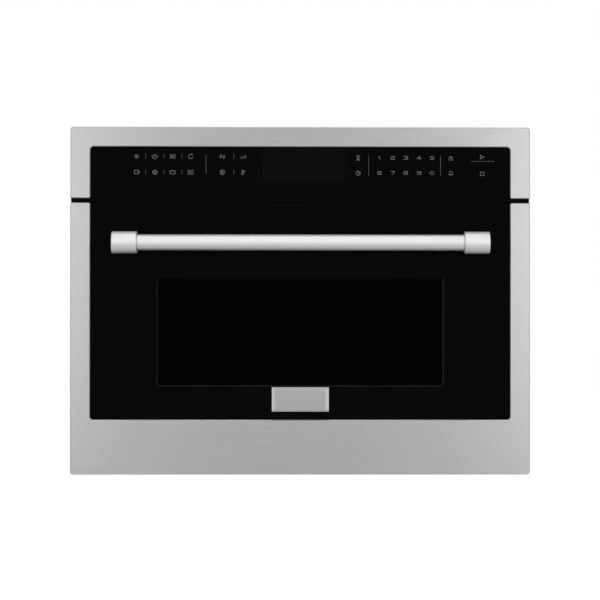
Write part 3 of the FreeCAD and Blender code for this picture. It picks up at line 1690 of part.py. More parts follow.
def turntable_coupler():
    """Three-armed drive hub under the tray, with the shaft that goes down to the motor."""
    body = new_body("turntable_coupler")
    height = s.coupler_height
    drop = tray_bottom() - CAVITY_FLOOR + s.cavity_sheet + s.turn_motor_height * SHAFT_SHARE
    revolve(
        body,
        poly(
            (0, -drop),
            (s.shaft_radius, -drop),
            (s.shaft_radius, -height),
            (s.coupler_hub_radius, -height),
            (s.coupler_hub_radius, -s.roller_play),
            (0, -s.roller_play),
        ),
    )
    reach = s.tray_lug_radius + s.tray_lug_length / 2
    start = s.tray_lug_width / 2 + s.roller_play
    arm = pad(
        body, "XY", -height, -s.roller_play, rect(0, start, reach, start + s.coupler_arm_width)
    )
    polar(body, [arm], COUNTS["tray_lugs"])
    place(body, 0, TURN_Y, tray_bottom())
    return body


def roller_ring():
    """Plastic ring that carries the rollers on short radial axles."""
    body = new_body("roller_ring")
    half = s.ring_thick / 2
    outer = RING_INNER + s.ring_width
    pad(body, "XY", -half, half, disc(0, 0, outer), disc(0, 0, RING_INNER))
    start = outer - s.axle_root
    end = ROLLER_TRACK + s.roller_width / 2 + s.roller_play
    axle = pad(body, "YZ", start, end, disc(0, 0, s.axle_radius))
    polar(body, [axle], COUNTS["rollers"])
    place(body, 0, TURN_Y, roller_z())
    return body


def roller(index):
    """Wheel that rolls on the cavity floor under the tray."""
    body = new_body(f"roller_{index + 1}")
    half = s.roller_width / 2
    bore = s.axle_radius + s.running_play
    edge = s.roller_edge
    revolve(
        body,
        poly(
            (bore, -half),
            (s.roller_radius - edge, -half),
            (s.roller_radius, -half + edge),
            (s.roller_radius, half - edge),
            (s.roller_radius - edge, half),
            (bore, half),
        ),
    )
    angle = index * 360 / COUNTS["rollers"]
    cosine, sine = math.cos(math.radians(angle)), math.sin(math.radians(angle))
    lay_down = FreeCAD.Rotation(FreeCAD.Vector(0, 1, 0), 90)
    swing = FreeCAD.Rotation(FreeCAD.Vector(0, 0, 1), angle)
    body.Placement = FreeCAD.Placement(FreeCAD.Vector(), swing * lay_down)
    place(body, ROLLER_TRACK * cosine, TURN_Y + ROLLER_TRACK * sine, roller_z())
    return body


def turntable_motor():
    """Flat geared motor under the cavity floor, hung on two ears."""
    body = new_body("turntable_motor")
    radius, height = s.turn_motor_radius, s.turn_motor_height
    pad(body, "XY", -height, 0, disc(0, 0, radius))
    reach = radius + s.turn_motor_ear
    ear = rect(-reach, -s.turn_motor_ear / 2, reach, s.turn_motor_ear / 2)
    pad(body, "XY", -s.turn_motor_ear_thick, 0, ear)
    pocket(body, "XY", -height * BORE_SHARE, s.overrun, disc(0, 0, s.shaft_radius + s.running_play))
    place(body, 0, TURN_Y, CAVITY_FLOOR - s.cavity_sheet)
    return body


# Microwave source


def waveguide():
    """Folded steel duct on the cavity roof from the magnetron to the feed opening."""
    body = new_body("waveguide")
    wall = s.guide_sheet
    left, front = GUIDE_LEFT, GUIDE_FRONT
    right, back = left + s.guide_length, front + s.guide_width
    top = ROOF + s.guide_height
    pad(body, "XY", ROOF, top, rect(left, front, right, back))
    inner = rect(left + wall, front + wall, right - wall, back - wall)
    pocket(body, "XY", ROOF - s.overrun, top - wall, inner)
    x, y = antenna_place()
    pocket(body, "XY", top - wall - s.overrun, top + s.overrun, disc(x, y, s.antenna_hole))
    return body


def antenna_place():
    return ANTENNA_X, ANTENNA_Y


def waveguide_cover():
    """Mica sheet over the feed opening, on the inside of the cavity roof."""
    body = new_body("waveguide_cover")
    left, front = feed_corner()
    edge = s.mica_margin
    pad(
        body,
        "XY",
        CAVITY_TOP - s.mica_thick,
        CAVITY_TOP,
        rect(left - edge, front - edge, left + s.feed_width + edge, front + s.feed_depth + edge),
    )
    return body


def magnetron_yoke():
    """Steel yoke of the magnetron, open at the front and back, with the filter box on top."""
    body = new_body("magnetron_yoke")
    x, y = antenna_place()
    low = ROOF + s.guide_height
    high = low + s.yoke_height
    half, deep, wall = s.yoke_width / 2, s.yoke_depth / 2, s.yoke_sheet
    pad(body, "XZ", y - deep, y + deep, rect(x - half, low, x + half, high))
    pocket(
        body,
        "XZ",
        y - deep - s.overrun,
        y + deep + s.overrun,
        rect(x - half + wall, low + wall, x + half - wall, high - wall),
    )
    pocket(body, "XY", low - s.overrun, low + wall + s.overrun, disc(x, y, s.antenna_hole))
    pad(
        body,
        "XY",
        high,
        high + s.filter_height,
        rect(x - s.filter_width / 2, y - s.filter_depth / 2, x + s.filter_width / 2, y + s.filter_depth / 2),
    )
    return body


def magnetron_core():
    """Anode with its ring magnets, cooling fins and antenna, clamped in the yoke."""
    body = new_body("magnetron_core")
    x, y = antenna_place()
    low = s.yoke_sheet
    high = s.yoke_height - s.yoke_sheet
    magnet = s.magnet_height
    revolve(
        body,
        poly(
            (0, -s.antenna_length),
            (s.antenna_radius / 2, -s.antenna_length),
            (s.antenna_radius, s.antenna_tip - s.antenna_length),
            (s.antenna_radius, low),
            (s.magnet_radius, low),
            (s.magnet_radius, low + magnet),
            (s.anode_radius, low + magnet),
            (s.anode_radius, high - magnet),
            (s.magnet_radius, high - magnet),
            (s.magnet_radius, high),
            (0, high),
        ),
    )
    room = high - low - 2 * magnet
    step = room / COUNTS["fins"]
    start = low + magnet + step / 2 - s.fin_thick / 2
    half, deep = s.fin_width / 2, s.fin_depth / 2
    first = pad(body, "XY", start, start + s.fin_thick, rect(-half, -deep, half, deep))
    row(body, [first], "Z", room - step, COUNTS["fins"])
    place(body, x, y, ROOF + s.guide_height)
    return body


# High-voltage supply


def transformer_place():
    return CORE_LEFT + s.core_width / 2, CORE_FRONT + s.core_depth / 2


def transformer_core():
    """Laminated iron core with two windows, standing on a folded foot."""
    body = new_body("transformer_core")
    x, y = transformer_place()
    half, deep, leg = s.core_width / 2, s.core_depth / 2, s.core_leg
    low = ROOF + s.core_foot_thick
    high = low + s.core_height
    windows = [
        rect(x - half + leg, low + leg, x - leg, high - leg),
        rect(x + leg, low + leg, x + half - leg, high - leg),
    ]
    pad(body, "XZ", y - deep, y + deep, rect(x - half, low, x + half, high), *windows)
    foot = s.core_foot
    pad(body, "XY", ROOF, low, rect(x - half - foot, y - deep, x + half + foot, y + deep))
    return body


def transformer_coils():
    """Primary and secondary windings on the middle leg of the core."""
    x, y = transformer_place()
    leg, gap = s.core_leg, s.coil_gap
    half, deep = s.core_width / 2 - leg - gap, s.core_depth / 2
    low = ROOF + s.core_foot_thick + leg + gap
    room = (s.core_height - 2 * leg - 3 * gap) / 2
    solids = []
    for index, name in enumerate(("secondary", "primary")):
        body = new_body(f"coil_{name}")
        start = low + index * (room + gap)
        reach = deep + s.coil_overhang
        pad(
            body,
            "XY",
            start,
            start + room,
            rect(x - half, y - reach, x + half, y + reach),
            rect(x - leg - gap, y - deep - gap, x + leg + gap, y + deep + gap),
        )
        dress(body, "Fillet", s.coil_overhang / 2, outer_corners(x, y, half, reach))
        solids.append(body)
    group = doc.addObject("Part::Compound", "transformer_coils")
    group.Links = solids
    group.Label = "transformer_coils"
    return group


def outer_corners(x, y, half, reach):
    """Picks the upright edges at the outer corners of a coil."""

    def pick(edge):
        middle = edge.CenterOfMass
        across = abs(abs(middle.x - x.value) - half.value) < NEAR
        return along(edge, "z") and across and abs(abs(middle.y - y.value) - reach.value) < NEAR

    return pick


def capacitor():
    """Oval oil capacitor lying on the cavity roof, with its two tags."""
    body = new_body("capacitor")
    left = CORE_LEFT + s.core_width + s.capacitor_gap
    front = PLATE_BACK + s.capacitor_setback
    radius = s.capacitor_height / 2
    right, back = left + s.capacitor_width, front + s.capacitor_length
    middle = ROOF + radius
    near, far, top = left + radius, right - radius, ROOF + s.capacitor_height
    oval = path((far, ROOF), ((far, top), (far, middle)), (near, top), ((near, ROOF), (near, middle)))
    pad(body, "XZ", front, back, oval)
    half, tall = s.capacitor_tag_thick / 2, s.capacitor_tag / 2
    tags = [rect(x - half, middle - tall, x + half, middle + tall) for x in (near, far)]
    pad(body, "XZ", front - s.capacitor_tag, front, *tags)
    return body


# Cooling blower


def blower_floor():
    return ROOF + s.blower_motor_height


def blower_motor():
    """Motor of the cooling blower, on a round foot on the cavity roof."""
    body = new_body("blower_motor")
    radius, height = s.blower_motor_radius, s.blower_motor_height
    bore = s.blower_shaft_radius + s.running_play
    depth = height - s.blower_motor_height * BORE_SHARE
    revolve(
        body,
        poly(
            (0, 0),
            (s.blower_motor_foot, 0),
            (s.blower_motor_foot, s.blower_motor_foot_thick),
            (radius, s.blower_motor_foot_thick),
            (radius, height),
            (bore, height),
            (bore, depth),
            (0, depth),
        ),
    )
    place(body, BLOWER_X, BLOWER_Y, ROOF)
    return body


def scroll_outline(inset, past):
    """Plan of the scroll: a small half circle, a larger one that it grows into, and a straight outlet."""
    near = s.scroll_radius - inset
    right = near + 2 * s.scroll_growth
    tongue = s.scroll_radius * TONGUE_SHARE + inset
    end = s.scroll_reach + past
    return path(
        (tongue, chord(near, tongue)),
        ((-near, 0), (0, 0)),
        ((right, 0), (s.scroll_growth, 0)),
        (right, end),
        (tongue, end),
    )


def blower_scroll():
    """Scroll housing of the blower, on its motor, with the inlet on top and the outlet to the back."""
    body = new_body("blower_scroll")
    wall, high = s.scroll_wall, s.scroll_height
    pad(body, "XY", 0, high, scroll_outline(as_size(0), as_size(0)))
    pocket(body, "XY", wall, high - wall, scroll_outline(wall, s.overrun))
    pocket(body, "XY", high - wall - s.overrun, high + s.overrun, disc(0, 0, s.scroll_inlet))
    pocket(body, "XY", -s.overrun, wall + s.overrun, disc(0, 0, s.scroll_collar))
    place(body, BLOWER_X, BLOWER_Y, blower_floor())
    return body


def blower_wheel():
    """Drum wheel with leaning blades between its drive disc and a top ring, on its shaft."""
    body = new_body("blower_wheel")
    inner, outer, high = s.wheel_inner, s.wheel_radius, s.wheel_height
    floor = s.wheel_floor
    pad(body, "XY", 0, floor, disc(0, 0, outer))
    pad(body, "XY", 0, high / 2, disc(0, 0, s.wheel_hub_radius))
    pad(body, "XY", high - floor, high, disc(0, 0, outer), disc(0, 0, inner))
    lean, thick = s.wheel_blade_lean, s.wheel_blade_thick
    tip = outer - thick
    outline = poly((inner, 0), (tip, lean), (tip, lean + thick), (inner, thick))
    blade = pad(body, "XY", 0, high, outline)
    polar(body, [blade], COUNTS["wheel_blades"])
    drop = s.wheel_lift + s.scroll_wall + s.blower_motor_height * SHAFT_SHARE
    pad(body, "XY", -drop, 0, disc(0, 0, s.blower_shaft_radius))
    place(body, BLOWER_X, BLOWER_Y, blower_floor() + s.scroll_wall + s.wheel_lift)
    return body


# Lamp, sensors and mains entry


def lamp_box():
    """Sheet-metal box on the cavity's right wall that holds the lamp."""
    body = new_body("lamp_box")
    left = CAVITY_HALF + s.cavity_sheet
    right = left + s.lamp_box_depth
    y, z, half, wall = LAMP_Y, LAMP_Z, s.lamp_box_side / 2, s.lamp_box_wall
    pad(body, "YZ", left, right, rect(y - half, z - half, y + half, z + half))
    hollow = rect(y - half + wall, z - half + wall, y + half - wall, z + half - wall)
    pocket(body, "YZ", left - s.overrun, right - wall, hollow)
    return body


def lamp_bulb():
    """Small round bulb with its neck in the back of the lamp box."""
    body = new_body("lamp_bulb")
    radius, neck = s.bulb_radius, s.bulb_neck
    seat = CAVITY_HALF + s.cavity_sheet + s.lamp_box_depth - s.lamp_box_wall
    shoulder = s.bulb_length - radius
    revolve(
        body,
        poly(
            (0, 0),
            (neck, 0),
            (neck, shoulder / 2),
            (radius, shoulder),
            (radius, shoulder + radius / 2),
            (radius / 2, s.bulb_length),
            (0, s.bulb_length),
        ),
    )
    place(body, seat, LAMP_Y, LAMP_Z, turn=((0, 1, 0), -90))
    return body


def thermostats():
    """Two disc thermostats on the cavity roof."""
    solids = []
    for index in range(2):
        body = new_body(f"thermostat_{index + 1}")
        y = PLATE_BACK + s.thermostat_setback + index * s.thermostat_spacing
        pad(body, "XY", ROOF, ROOF + s.thermostat_height / 2, disc(0, y, s.thermostat_radius))
        top = ROOF + s.thermostat_height
        pad(body, "XY", ROOF + s.thermostat_height / 2, top, disc(0, y, s.thermostat_cap))
        solids.append(body)
    group = doc.addObject("Part::Compound", "thermostats")
    group.Links = solids
    group.Label = "thermostats"
    return group


def cable_gland():
    """Rubber bush in the rear panel where a mains cable enters."""
    body = new_body("cable_gland")
    length = s.gland_length
    revolve(
        body,
        poly(
            (s.gland_bore, -length + s.gland_flange_thick),
            (s.gland_body, -length + s.gland_flange_thick),
            (s.gland_body, 0),
            (s.gland_flange, 0),
            (s.gland_flange - s.gland_flange_thick / 2, s.gland_flange_thick),
            (s.gland_bore, s.gland_flange_thick),
        ),
    )
    place(body, GLAND_X, REAR, s.gland_z, turn=((1, 0, 0), -90))
    return body


def terminal_block():
    """Mains terminal block on the base plate, in front of the cable entry."""
    body = new_body("terminal_block")
    half = s.terminal_width / 2
    back = REAR - s.gland_length - s.terminal_gap
    front = back - s.terminal_depth
    high = s.case_sheet + s.terminal_height
    pad(body, "XY", s.case_sheet, high, rect(GLAND_X - half, front, GLAND_X + half, back))
    step = s.terminal_width / COUNTS["terminals"]
    x, y = GLAND_X - half + step / 2, (front + back) / 2
    side = s.terminal_well_side / 2
    well = rect(x - side, y - side, x + side, y + side)
    first = pocket(body, "XY", high - s.terminal_height / 2, high + s.overrun, well)
    row(body, [first], "X", s.terminal_width - step, COUNTS["terminals"])
    return body


def build():
    pieces = [
        door_frame(),
        door_glass(),
        door_pan(),
        rf_screen(),
        inner_glass(),
        choke_cover(),
        door_top_trim(),
        handle_bar(),
        handle_post("handle_post_left", -1),
        handle_post("handle_post_right", 1),
        handle_screws(),
        plaque(),
        hinge_channels(),
        hinge_pins(),
        hinge_springs(),
        hinge_claws(),
        hinge_brackets(),
        latch_bar(),
        catch_boxes(),
        interlock_levers(),
        interlock_switches(),
        control_frame(),
        control_glass(),
        control_carrier(),
        control_board(),
        display_module(),
        front_plate(),
        base_plate(),
        cabinet_wrap(),
        rear_panel(),
        cavity_wrap(),
        cavity_floor(),
        cavity_back(),
        fan_guard(),
        fan_duct(),
        convection_fan(),
        heater_ring(),
        fan_motor(),
        turntable_tray(),
        turntable_coupler(),
        roller_ring(),
        turntable_motor(),
        waveguide(),
        waveguide_cover(),
        magnetron_yoke(),
        magnetron_core(),
        transformer_core(),
        transformer_coils(),
        capacitor(),
        blower_motor(),
        blower_scroll(),
        blower_wheel(),
        lamp_box(),
        lamp_bulb(),
        thermostats(),
        cable_gland(),
        terminal_block(),
    ]
    pieces += [roller(index) for index in range(COUNTS["rollers"])]
    return pieces


def check_and_write(pieces):
    doc.recompute()
    for thing in doc.Objects:
        if {"Invalid", "Error"} & set(thing.State):
            raise RuntimeError(f"{thing.Name} failed: {thing.State}")
    for piece in pieces:
        if piece.Shape.isNull() or not piece.Shape.isValid() or not piece.Shape.Solids:
            raise RuntimeError(f"{piece.Label} has no valid solid")
    os.makedirs("parts", exist_ok=True)
    for piece in pieces:
        piece.Shape.exportStep(f"parts/{piece.Label}.step")


check_and_write(build())
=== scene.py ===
"""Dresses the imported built-in microwave: finishes, glass, handle, printed panel, screen, screws and stage."""

import math
from dataclasses import dataclass, field
from functools import cache

import bmesh
import bpy
from mathutils import Matrix, Vector


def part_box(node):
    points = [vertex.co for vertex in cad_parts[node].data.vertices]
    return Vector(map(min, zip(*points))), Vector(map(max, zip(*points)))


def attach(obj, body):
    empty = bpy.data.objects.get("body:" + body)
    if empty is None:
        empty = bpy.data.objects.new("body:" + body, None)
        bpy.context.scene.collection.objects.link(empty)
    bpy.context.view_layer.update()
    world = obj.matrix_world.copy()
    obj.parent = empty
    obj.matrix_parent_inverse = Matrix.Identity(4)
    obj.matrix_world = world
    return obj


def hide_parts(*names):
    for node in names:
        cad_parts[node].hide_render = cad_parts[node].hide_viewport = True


bl_info = {
    "name": "Built-in Microwave Dressing",
    "version": (1, 0, 0),
    "blender": (4, 5, 0),
    "location": "View3D > Sidebar > Microwave",
    "description": "Dresses a packed built-in microwave with its finishes, glass, handle, print and stage",
    "category": "Object",
}

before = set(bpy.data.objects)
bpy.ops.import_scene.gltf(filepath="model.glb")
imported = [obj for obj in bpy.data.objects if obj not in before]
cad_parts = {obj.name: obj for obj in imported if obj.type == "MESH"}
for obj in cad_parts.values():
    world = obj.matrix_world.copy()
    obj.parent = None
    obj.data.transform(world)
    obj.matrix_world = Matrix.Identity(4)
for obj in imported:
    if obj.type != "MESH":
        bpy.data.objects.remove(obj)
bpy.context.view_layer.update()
MM = 0.001


def linear(tone):
    """A hex sRGB colour as linear numbers."""
    parts = [int(tone[i : i + 2], 16) / 255 for i in (0, 2, 4)]
    return [part / 12.92 if part <= 0.04045 else ((part + 0.055) / 1.055) ** 2.4 for part in parts]


@dataclass
class Finish:
    """A surface whose tone, roughness and relief follow one pattern. Grain and relief are in millimetres."""

    tone: str
    rough: tuple
    grain: float
    metallic: float = 0.0
    pattern: str = "noise"
    stretch: tuple = (1, 1, 1)
    swing: float = 0.06
    relief: float = 0.0
    specular: float = 0.5
    sockets: dict = field(default_factory=dict)


CLEAR = {"Transmission Weight": 1.0, "IOR": 1.5}

FINISHES = {
    # Stainless sheet brushed along the width: fine lines blur the room into soft grey bands.
    # Real lines are about 0.1 mm apart and are drawn at 0.55 mm so that they show.
    "brushed_stainless": Finish("939393", (0.29, 0.37), 0.55, 1.0, stretch=(0.007, 1, 1)),
    # Stainless bar, satin ground along its length: paler and softer than the sheet.
    # Real grinding lines are about 0.2 mm apart and are drawn at 0.9 mm, as faint streaks that show.
    "satin_stainless": Finish("B6B6B6", (0.46, 0.66), 0.9, 1.0, stretch=(0.006, 1, 1), swing=0.2),
    # Float glass, printed black on its back: a deep black under a weak mirror, even over some 60 mm
    "printed_glass": Finish("030303", (0.05, 0.08), 60, swing=0.1, specular=0.022),
    # Smoked glass over the display: a shade lighter than the print round it, even over some 20 mm
    "smoked_glass": Finish("040404", (0.1, 0.14), 20, swing=0.1, specular=0.034),
    # Dark tinted float glass: a quarter of the light goes through, so that the screen shows only near by
    "tinted_glass": Finish("010101", (0.03, 0.05), 60, specular=0.012, sockets={"Alpha": 0.75}),
    # Painted highlight on the glass beside and under the window, where its edges would catch light: matt dark
    # grey, clouded over 2 mm
    "fired_ink": Finish("171717", (0.5, 0.6), 2, specular=0.05),
    # Light grey screen print: matt, with a slightly uneven coat over 1.5 mm
    "printed_ink": Finish("5E5E5E", (0.55, 0.65), 1.5, swing=0.1),
    # Plain tempered glass: clear, with a faint green edge, even over some 50 mm
    "tempered_glass": Finish("EEF4F0", (0.02, 0.03), 50, swing=0.01, sockets=CLEAR),
    # Black stove enamel on steel: satin, with an orange peel of 2.5 mm
    "black_stove_enamel": Finish("060607", (0.4, 0.5), 2.5, relief=0.02, specular=0.12),
    # Grey stove enamel on the door's pan: the same peel, with a little more gloss
    "grey_stove_enamel": Finish("5C5E60", (0.36, 0.46), 2.5, relief=0.02),
    # Phosphated sheet of the perforated screen: dull black, with crystals that cloud it over 4 mm
    "phosphated_steel": Finish("17171A", (0.45, 0.55), 4, 0.3),
    # Stainless sheet of the cavity, drawn satin: soft lines, drawn at 0.9 mm so that they show
    "drawn_stainless": Finish(
        "B5B4B0", (0.3, 0.38), 0.9, 1.0, stretch=(0.02, 0.3, 1), swing=0.04, relief=0.004
    ),
    # Hot-dip galvanised sheet: flat zinc crystals of about 9 mm that each mirror a little differently
    "galvanised_steel": Finish("A3A7AA", (0.34, 0.5), 9, 0.85, "cells", swing=0.12),
    # Zinc plate, clear passivated: pale, with a faint warm tint that clouds over 5 mm
    "zinc_plate": Finish("B4B0A4", (0.3, 0.42), 5, 0.9, swing=0.08),
    # Stacked silicon steel under varnish: fine dark lines, one for each sheet of 0.5 mm
    "silicon_steel": Finish("45403B", (0.4, 0.55), 0.5, 0.4, "bands", swing=0.3),
    # Grey sprayed motor paint: dull, with an orange peel of 3 mm
    "motor_paint": Finish("6F7274", (0.45, 0.55), 3, swing=0.08, relief=0.01),
    # Steel sheath of the heater, blued and browned by heat in patches of 7 mm
    "blued_steel": Finish("4C4038", (0.4, 0.6), 7, 0.6, swing=0.3),
    # Enamelled copper wire laid in rows of 0.8 mm: warm bright ridges
    "copper_wire": Finish("A3542B", (0.3, 0.42), 0.8, 0.9, "bands", swing=0.25),
    # Rolled aluminium, mill finish: bright, with roll lines drawn at 1.2 mm so that they show
    "mill_aluminium": Finish("C2C4C6", (0.3, 0.42), 1.2, 1.0, stretch=(0.05, 1, 1)),
    # Black moulded ABS: satin, with a spark texture of 0.7 mm
    "black_ABS": Finish("131314", (0.45, 0.58), 0.7, swing=0.12, relief=0.01),
    # Grey moulded polypropylene: waxy and dull, with a texture of 0.9 mm
    "grey_polypropylene": Finish("83868A", (0.48, 0.6), 0.9, relief=0.01),
    # White moulded high-heat polymer: warm white, waxy, with a texture of 0.9 mm
    "white_polymer": Finish("E3E0D8", (0.4, 0.5), 0.9, swing=0.03, relief=0.008),
    # Green solder mask: glossy, mottled by the glass cloth of 1.1 mm under it
    "solder_mask": Finish("1C5A31", (0.3, 0.42), 1.1, swing=0.2),
    # Pressed mica: pale flakes of about 2.5 mm
    "pressed_mica": Finish("BBAA88", (0.4, 0.6), 2.5, pattern="cells", swing=0.15),
    # Black strip in the gap over the door, which paints the gap's shade: open pores of about 0.5 mm and no
    # gloss
    "foam_rubber": Finish("070707", (0.85, 0.95), 0.5, swing=0.3, specular=0.05),
    # Moulded rubber: black and dull, with a texture of 1 mm
    "moulded_rubber": Finish("171717", (0.6, 0.75), 1, relief=0.01),
}
# At this scale a wave texture has one band in each unit of its coordinates
WAVE_SCALE = math.pi / 10


def colour(name, tone):
    words = name.replace("_", " ")
    texts = {"name": words[0].upper() + words[1:], "description": f"Main colour of the {words}"}
    limits = {"min": 0.0, "max": 1.0, "size": 3, "subtype": "COLOR"}
    return bpy.props.FloatVectorProperty(**texts, default=linear(tone), **limits)


def length(name, description, millimetres):
    size = millimetres * MM
    return bpy.props.FloatProperty(
        name=name, description=description, default=size, min=0.0, unit="LENGTH", subtype="DISTANCE"
    )


class FinishColours(bpy.types.PropertyGroup):
    """Main colour of every finish."""

    __annotations__ = {name: colour(name, spec.tone) for name, spec in FINISHES.items()}


class FrontSizes(bpy.types.PropertyGroup):
    """Sizes of the glass, the handle and the print on the front."""

    window_half: length("Half window", "Half the width of the see-through window", 187.8)
    window_low: length("Window foot", "Height of the window's lower edge", 119.2)
    window_high: length("Window head", "Height of the window's upper edge", 260.3)
    window_corner: length("Window corner", "Radius of the window's corners", 2.0)
    # The line beside and under the window is a painted highlight
    window_line: length("Window line", "Width of the line beside and under the window", 1.2)
    glass_corner: length("Glass corner", "Radius of the glass's lower corners", 4.7)
    rim_round: length("Post rim", "Radius of the rounded rims of the handle posts", 1.5)
    foot_thick: length("Post foot", "Thickness of the round foot of a handle post", 5.0)
    neck_radius: length("Post neck", "Radius of the neck of a handle post", 9.5)
    digit_height: length("Digit height", "Height of the printed digits", 3.9)
    digit_width: length("Digit width", "Width of the printed digits", 5.2)
    stroke: length("Stroke", "Width of the printed digits' and marks' lines", 0.5)
    hairline: length("Hairline", "Width of the printed dividing lines", 0.25)
    display_corner: length("Display corner", "Radius of the corners of the display's pane", 1.0)
    plate_bevel: length("Plate bevel", "Width of the sloped border of the bare plate", 4.2)
    plate_slope: length("Plate slope", "Depth of the sloped border of the bare plate", 0.4)
    ink: length("Ink", "Thickness of the printed ink", 0.05)
    # The four sizes below place the black strip that paints the shade in the gap over the door
    shade_strip_height: length("Seal height", "Height of the soft strip in the gap over the door", 5.5)
    shade_strip_depth: length("Seal depth", "Depth of the soft strip in the gap", 6.0)
    shade_strip_setback: length("Seal setback", "How far the soft strip lies behind the front", 5.0)
    shade_strip_inset: length("Seal inset", "How far the soft strip ends inside the front's sides", 0.4)


class InsideSizes(bpy.types.PropertyGroup):
    """Sizes of the perforated sheets, the screws and the rivets."""

    screen_pitch: length("Hole pitch", "Spacing of the holes in the window screen", 5.0)
    screen_hole: length("Hole radius", "Radius of the holes in the window screen", 1.9)
    screw_radius: length("Screw head", "Radius of the washer of a chassis screw", 4.2)
    rivet_radius: length("Rivet head", "Radius of a rivet head", 3.0)
    lamp_radius: length("Lamp cover", "Radius of the perforated lamp cover", 14.9)
    lamp_pitch: length("Lamp hole pitch", "Spacing of the holes in the lamp cover", 4.0)
    lamp_sheet: length("Lamp sheet", "Thickness of the lamp cover", 1.0)


# General tools

SMOOTH_ANGLE = 35.0
SQUARE_CORNERS = (0, 0, 0, 0)
SLIVER = 0.002 * MM


def add(tree, kind, inputs=None, **settings):
    """Adds a node with its settings. An input is a value, or a socket to link."""
    made = tree.nodes.new(kind)
    for name, value in settings.items():
        setattr(made, name, value)
    for name, value in (inputs or {}).items():
        if isinstance(value, bpy.types.NodeSocket):
            tree.links.new(value, made.inputs[name])
        else:
            made.inputs[name].default_value = value
    return made


def empty_tree(owner):
    """The node tree of a material or world, emptied."""
    owner.use_nodes = True
    owner.node_tree.nodes.clear()
    return owner.node_tree


def pattern_socket(tree, spec, vector):
    """The finish's own pattern, from 0 to 1."""
    if spec.pattern == "cells":
        cells = add(tree, "ShaderNodeTexVoronoi", {"Vector": vector, "Scale": 1.0})
        return add(tree, "ShaderNodeRGBToBW", {"Color": cells.outputs["Color"]}).outputs[0]
    if spec.pattern == "bands":
        waves = {"Vector": vector, "Scale": WAVE_SCALE, "Distortion": 0.4}
        return add(tree, "ShaderNodeTexWave", waves, bands_direction="Z").outputs[1]
    return add(tree, "ShaderNodeTexNoise", {"Vector": vector, "Scale": 1.0, "Detail": 3.0}).outputs[0]


@cache
def finish(name):
    """The material of a finish, made once."""
    spec = FINISHES[name]
    tone = Vector(getattr(bpy.context.scene.oven_colours, name))
    made = bpy.data.materials.new(name)
    tree = empty_tree(made)
    place = add(tree, "ShaderNodeTexCoord").outputs["Object"]
    scale = [share / (spec.grain * MM) for share in spec.stretch]
    laid = add(tree, "ShaderNodeMapping", {"Vector": place, "Scale": scale}).outputs[0]
    factor = pattern_socket(tree, spec, laid)
    low, high = [[*(tone * (1 + sign * spec.swing)), 1.0] for sign in (-1, 1)]
    shade = add(tree, "ShaderNodeMix", {0: factor, 6: low, 7: high}, data_type="RGBA").outputs[2]
    ends = {"From Min": 0.25, "From Max": 0.75, "To Min": spec.rough[0], "To Max": spec.rough[1]}
    rough = add(tree, "ShaderNodeMapRange", {"Value": factor, **ends}).outputs[0]
    gloss = {"Metallic": spec.metallic, "Specular IOR Level": spec.specular, **spec.sockets}
    inputs = {"Base Color": shade, "Roughness": rough, **gloss}
    if spec.relief:
        bump = {"Height": factor, "Distance": spec.relief * MM}
        inputs["Normal"] = add(tree, "ShaderNodeBump", bump).outputs[0]
    surface = add(tree, "ShaderNodeBsdfPrincipled", inputs)
    add(tree, "ShaderNodeOutputMaterial", {"Surface": surface.outputs[0]})
    return made


def paint(name, *nodes):
    """Gives CAD nodes a finish."""
    for node in nodes:
        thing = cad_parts[node]
        if not thing.material_slots:
            thing.data.materials.append(None)
        for slot in thing.material_slots:
            slot.material = finish(name)


def link(name, data):
    thing = bpy.data.objects.new(name, data)
    bpy.context.scene.collection.objects.link(thing)
    return thing


def shape_object(name, shape):
    """The object of a bmesh, with its faces outwards."""
    mesh = bpy.data.meshes.new(name)
    bmesh.ops.recalc_face_normals(shape, faces=shape.faces[:])
    shape.to_mesh(mesh)
    shape.free()
    return link(name, mesh)


def dress(thing, look, body, smooth_angle=SMOOTH_ANGLE):
    """Shades a piece, gives it a finish and lets it ride on a body."""
    thing.data.shade_smooth()
    thing.data.set_sharp_from_angle(angle=math.radians(smooth_angle))
    thing.data.materials.clear()
    thing.data.materials.append(finish(look))
    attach(thing, body)
    return thing


def piece(name, shape, look, body, smooth_angle=SMOOTH_ANGLE):
    """Makes a bmesh a piece that rides on a body."""
    return dress(shape_object(name, shape), look, body, smooth_angle)


def tipped(place, axis):
    """Brings a form to a place, tipped by a quarter turn about an axis."""
    return Matrix.Translation(place) @ Matrix.Rotation(math.radians(90), 4, axis)


def spread(start, end, count):
    """Evenly spaced values."""
    return [start + (end - start) * index / (count - 1) for index in range(count)]


def arc(x, z, radius, start=0, end=360, steps=16):
    turns = [math.radians(turn) for turn in spread(start, end, steps + 1)]
    return [(x + radius * math.cos(t), z + radius * math.sin(t)) for t in turns]


def quarter(x, z, radius, start, steps=6):
    return arc(x, z, radius, start, start + 90, steps)


def circle(x, z, radius, count, start=0):
    """Evenly spaced points of a full circle."""
    return arc(x, z, radius, start, start + 360, count)[:-1]


def lathe(profile, matrix, segments=96):
    """A turned form. The profile is (radius, height) points; a radius of zero is a pole."""
    shape = bmesh.new()
    rings = []
    for radius, height in profile:
        points = circle(0, 0, radius, segments) if radius else [(0, 0)]
        rings.append([shape.verts.new(matrix @ Vector((*point, height))) for point in points])
    for one, two in zip(rings, rings[1:]):
        for i in range(segments):
            j = i + 1
            corners = [one[i % len(one)], one[j % len(one)], two[j % len(two)], two[i % len(two)]]
            shape.faces.new(list(dict.fromkeys(corners)))
    return shape


def rounded(left, low, right, high, radii):
    """Outline of a rectangle whose corners are rounded, from the lower left corner on."""
    corners = (
        (left, low, 1, 1, 180),
        (right, low, -1, 1, 270),
        (right, high, -1, -1, 0),
        (left, high, 1, -1, 90),
    )
    points = []
    for (x, z, inward, up, start), radius in zip(corners, radii):
        if radius == 0:
            points.append((x, z))
            continue
        points += quarter(x + inward * radius, z + up * radius, radius, start)
    return points


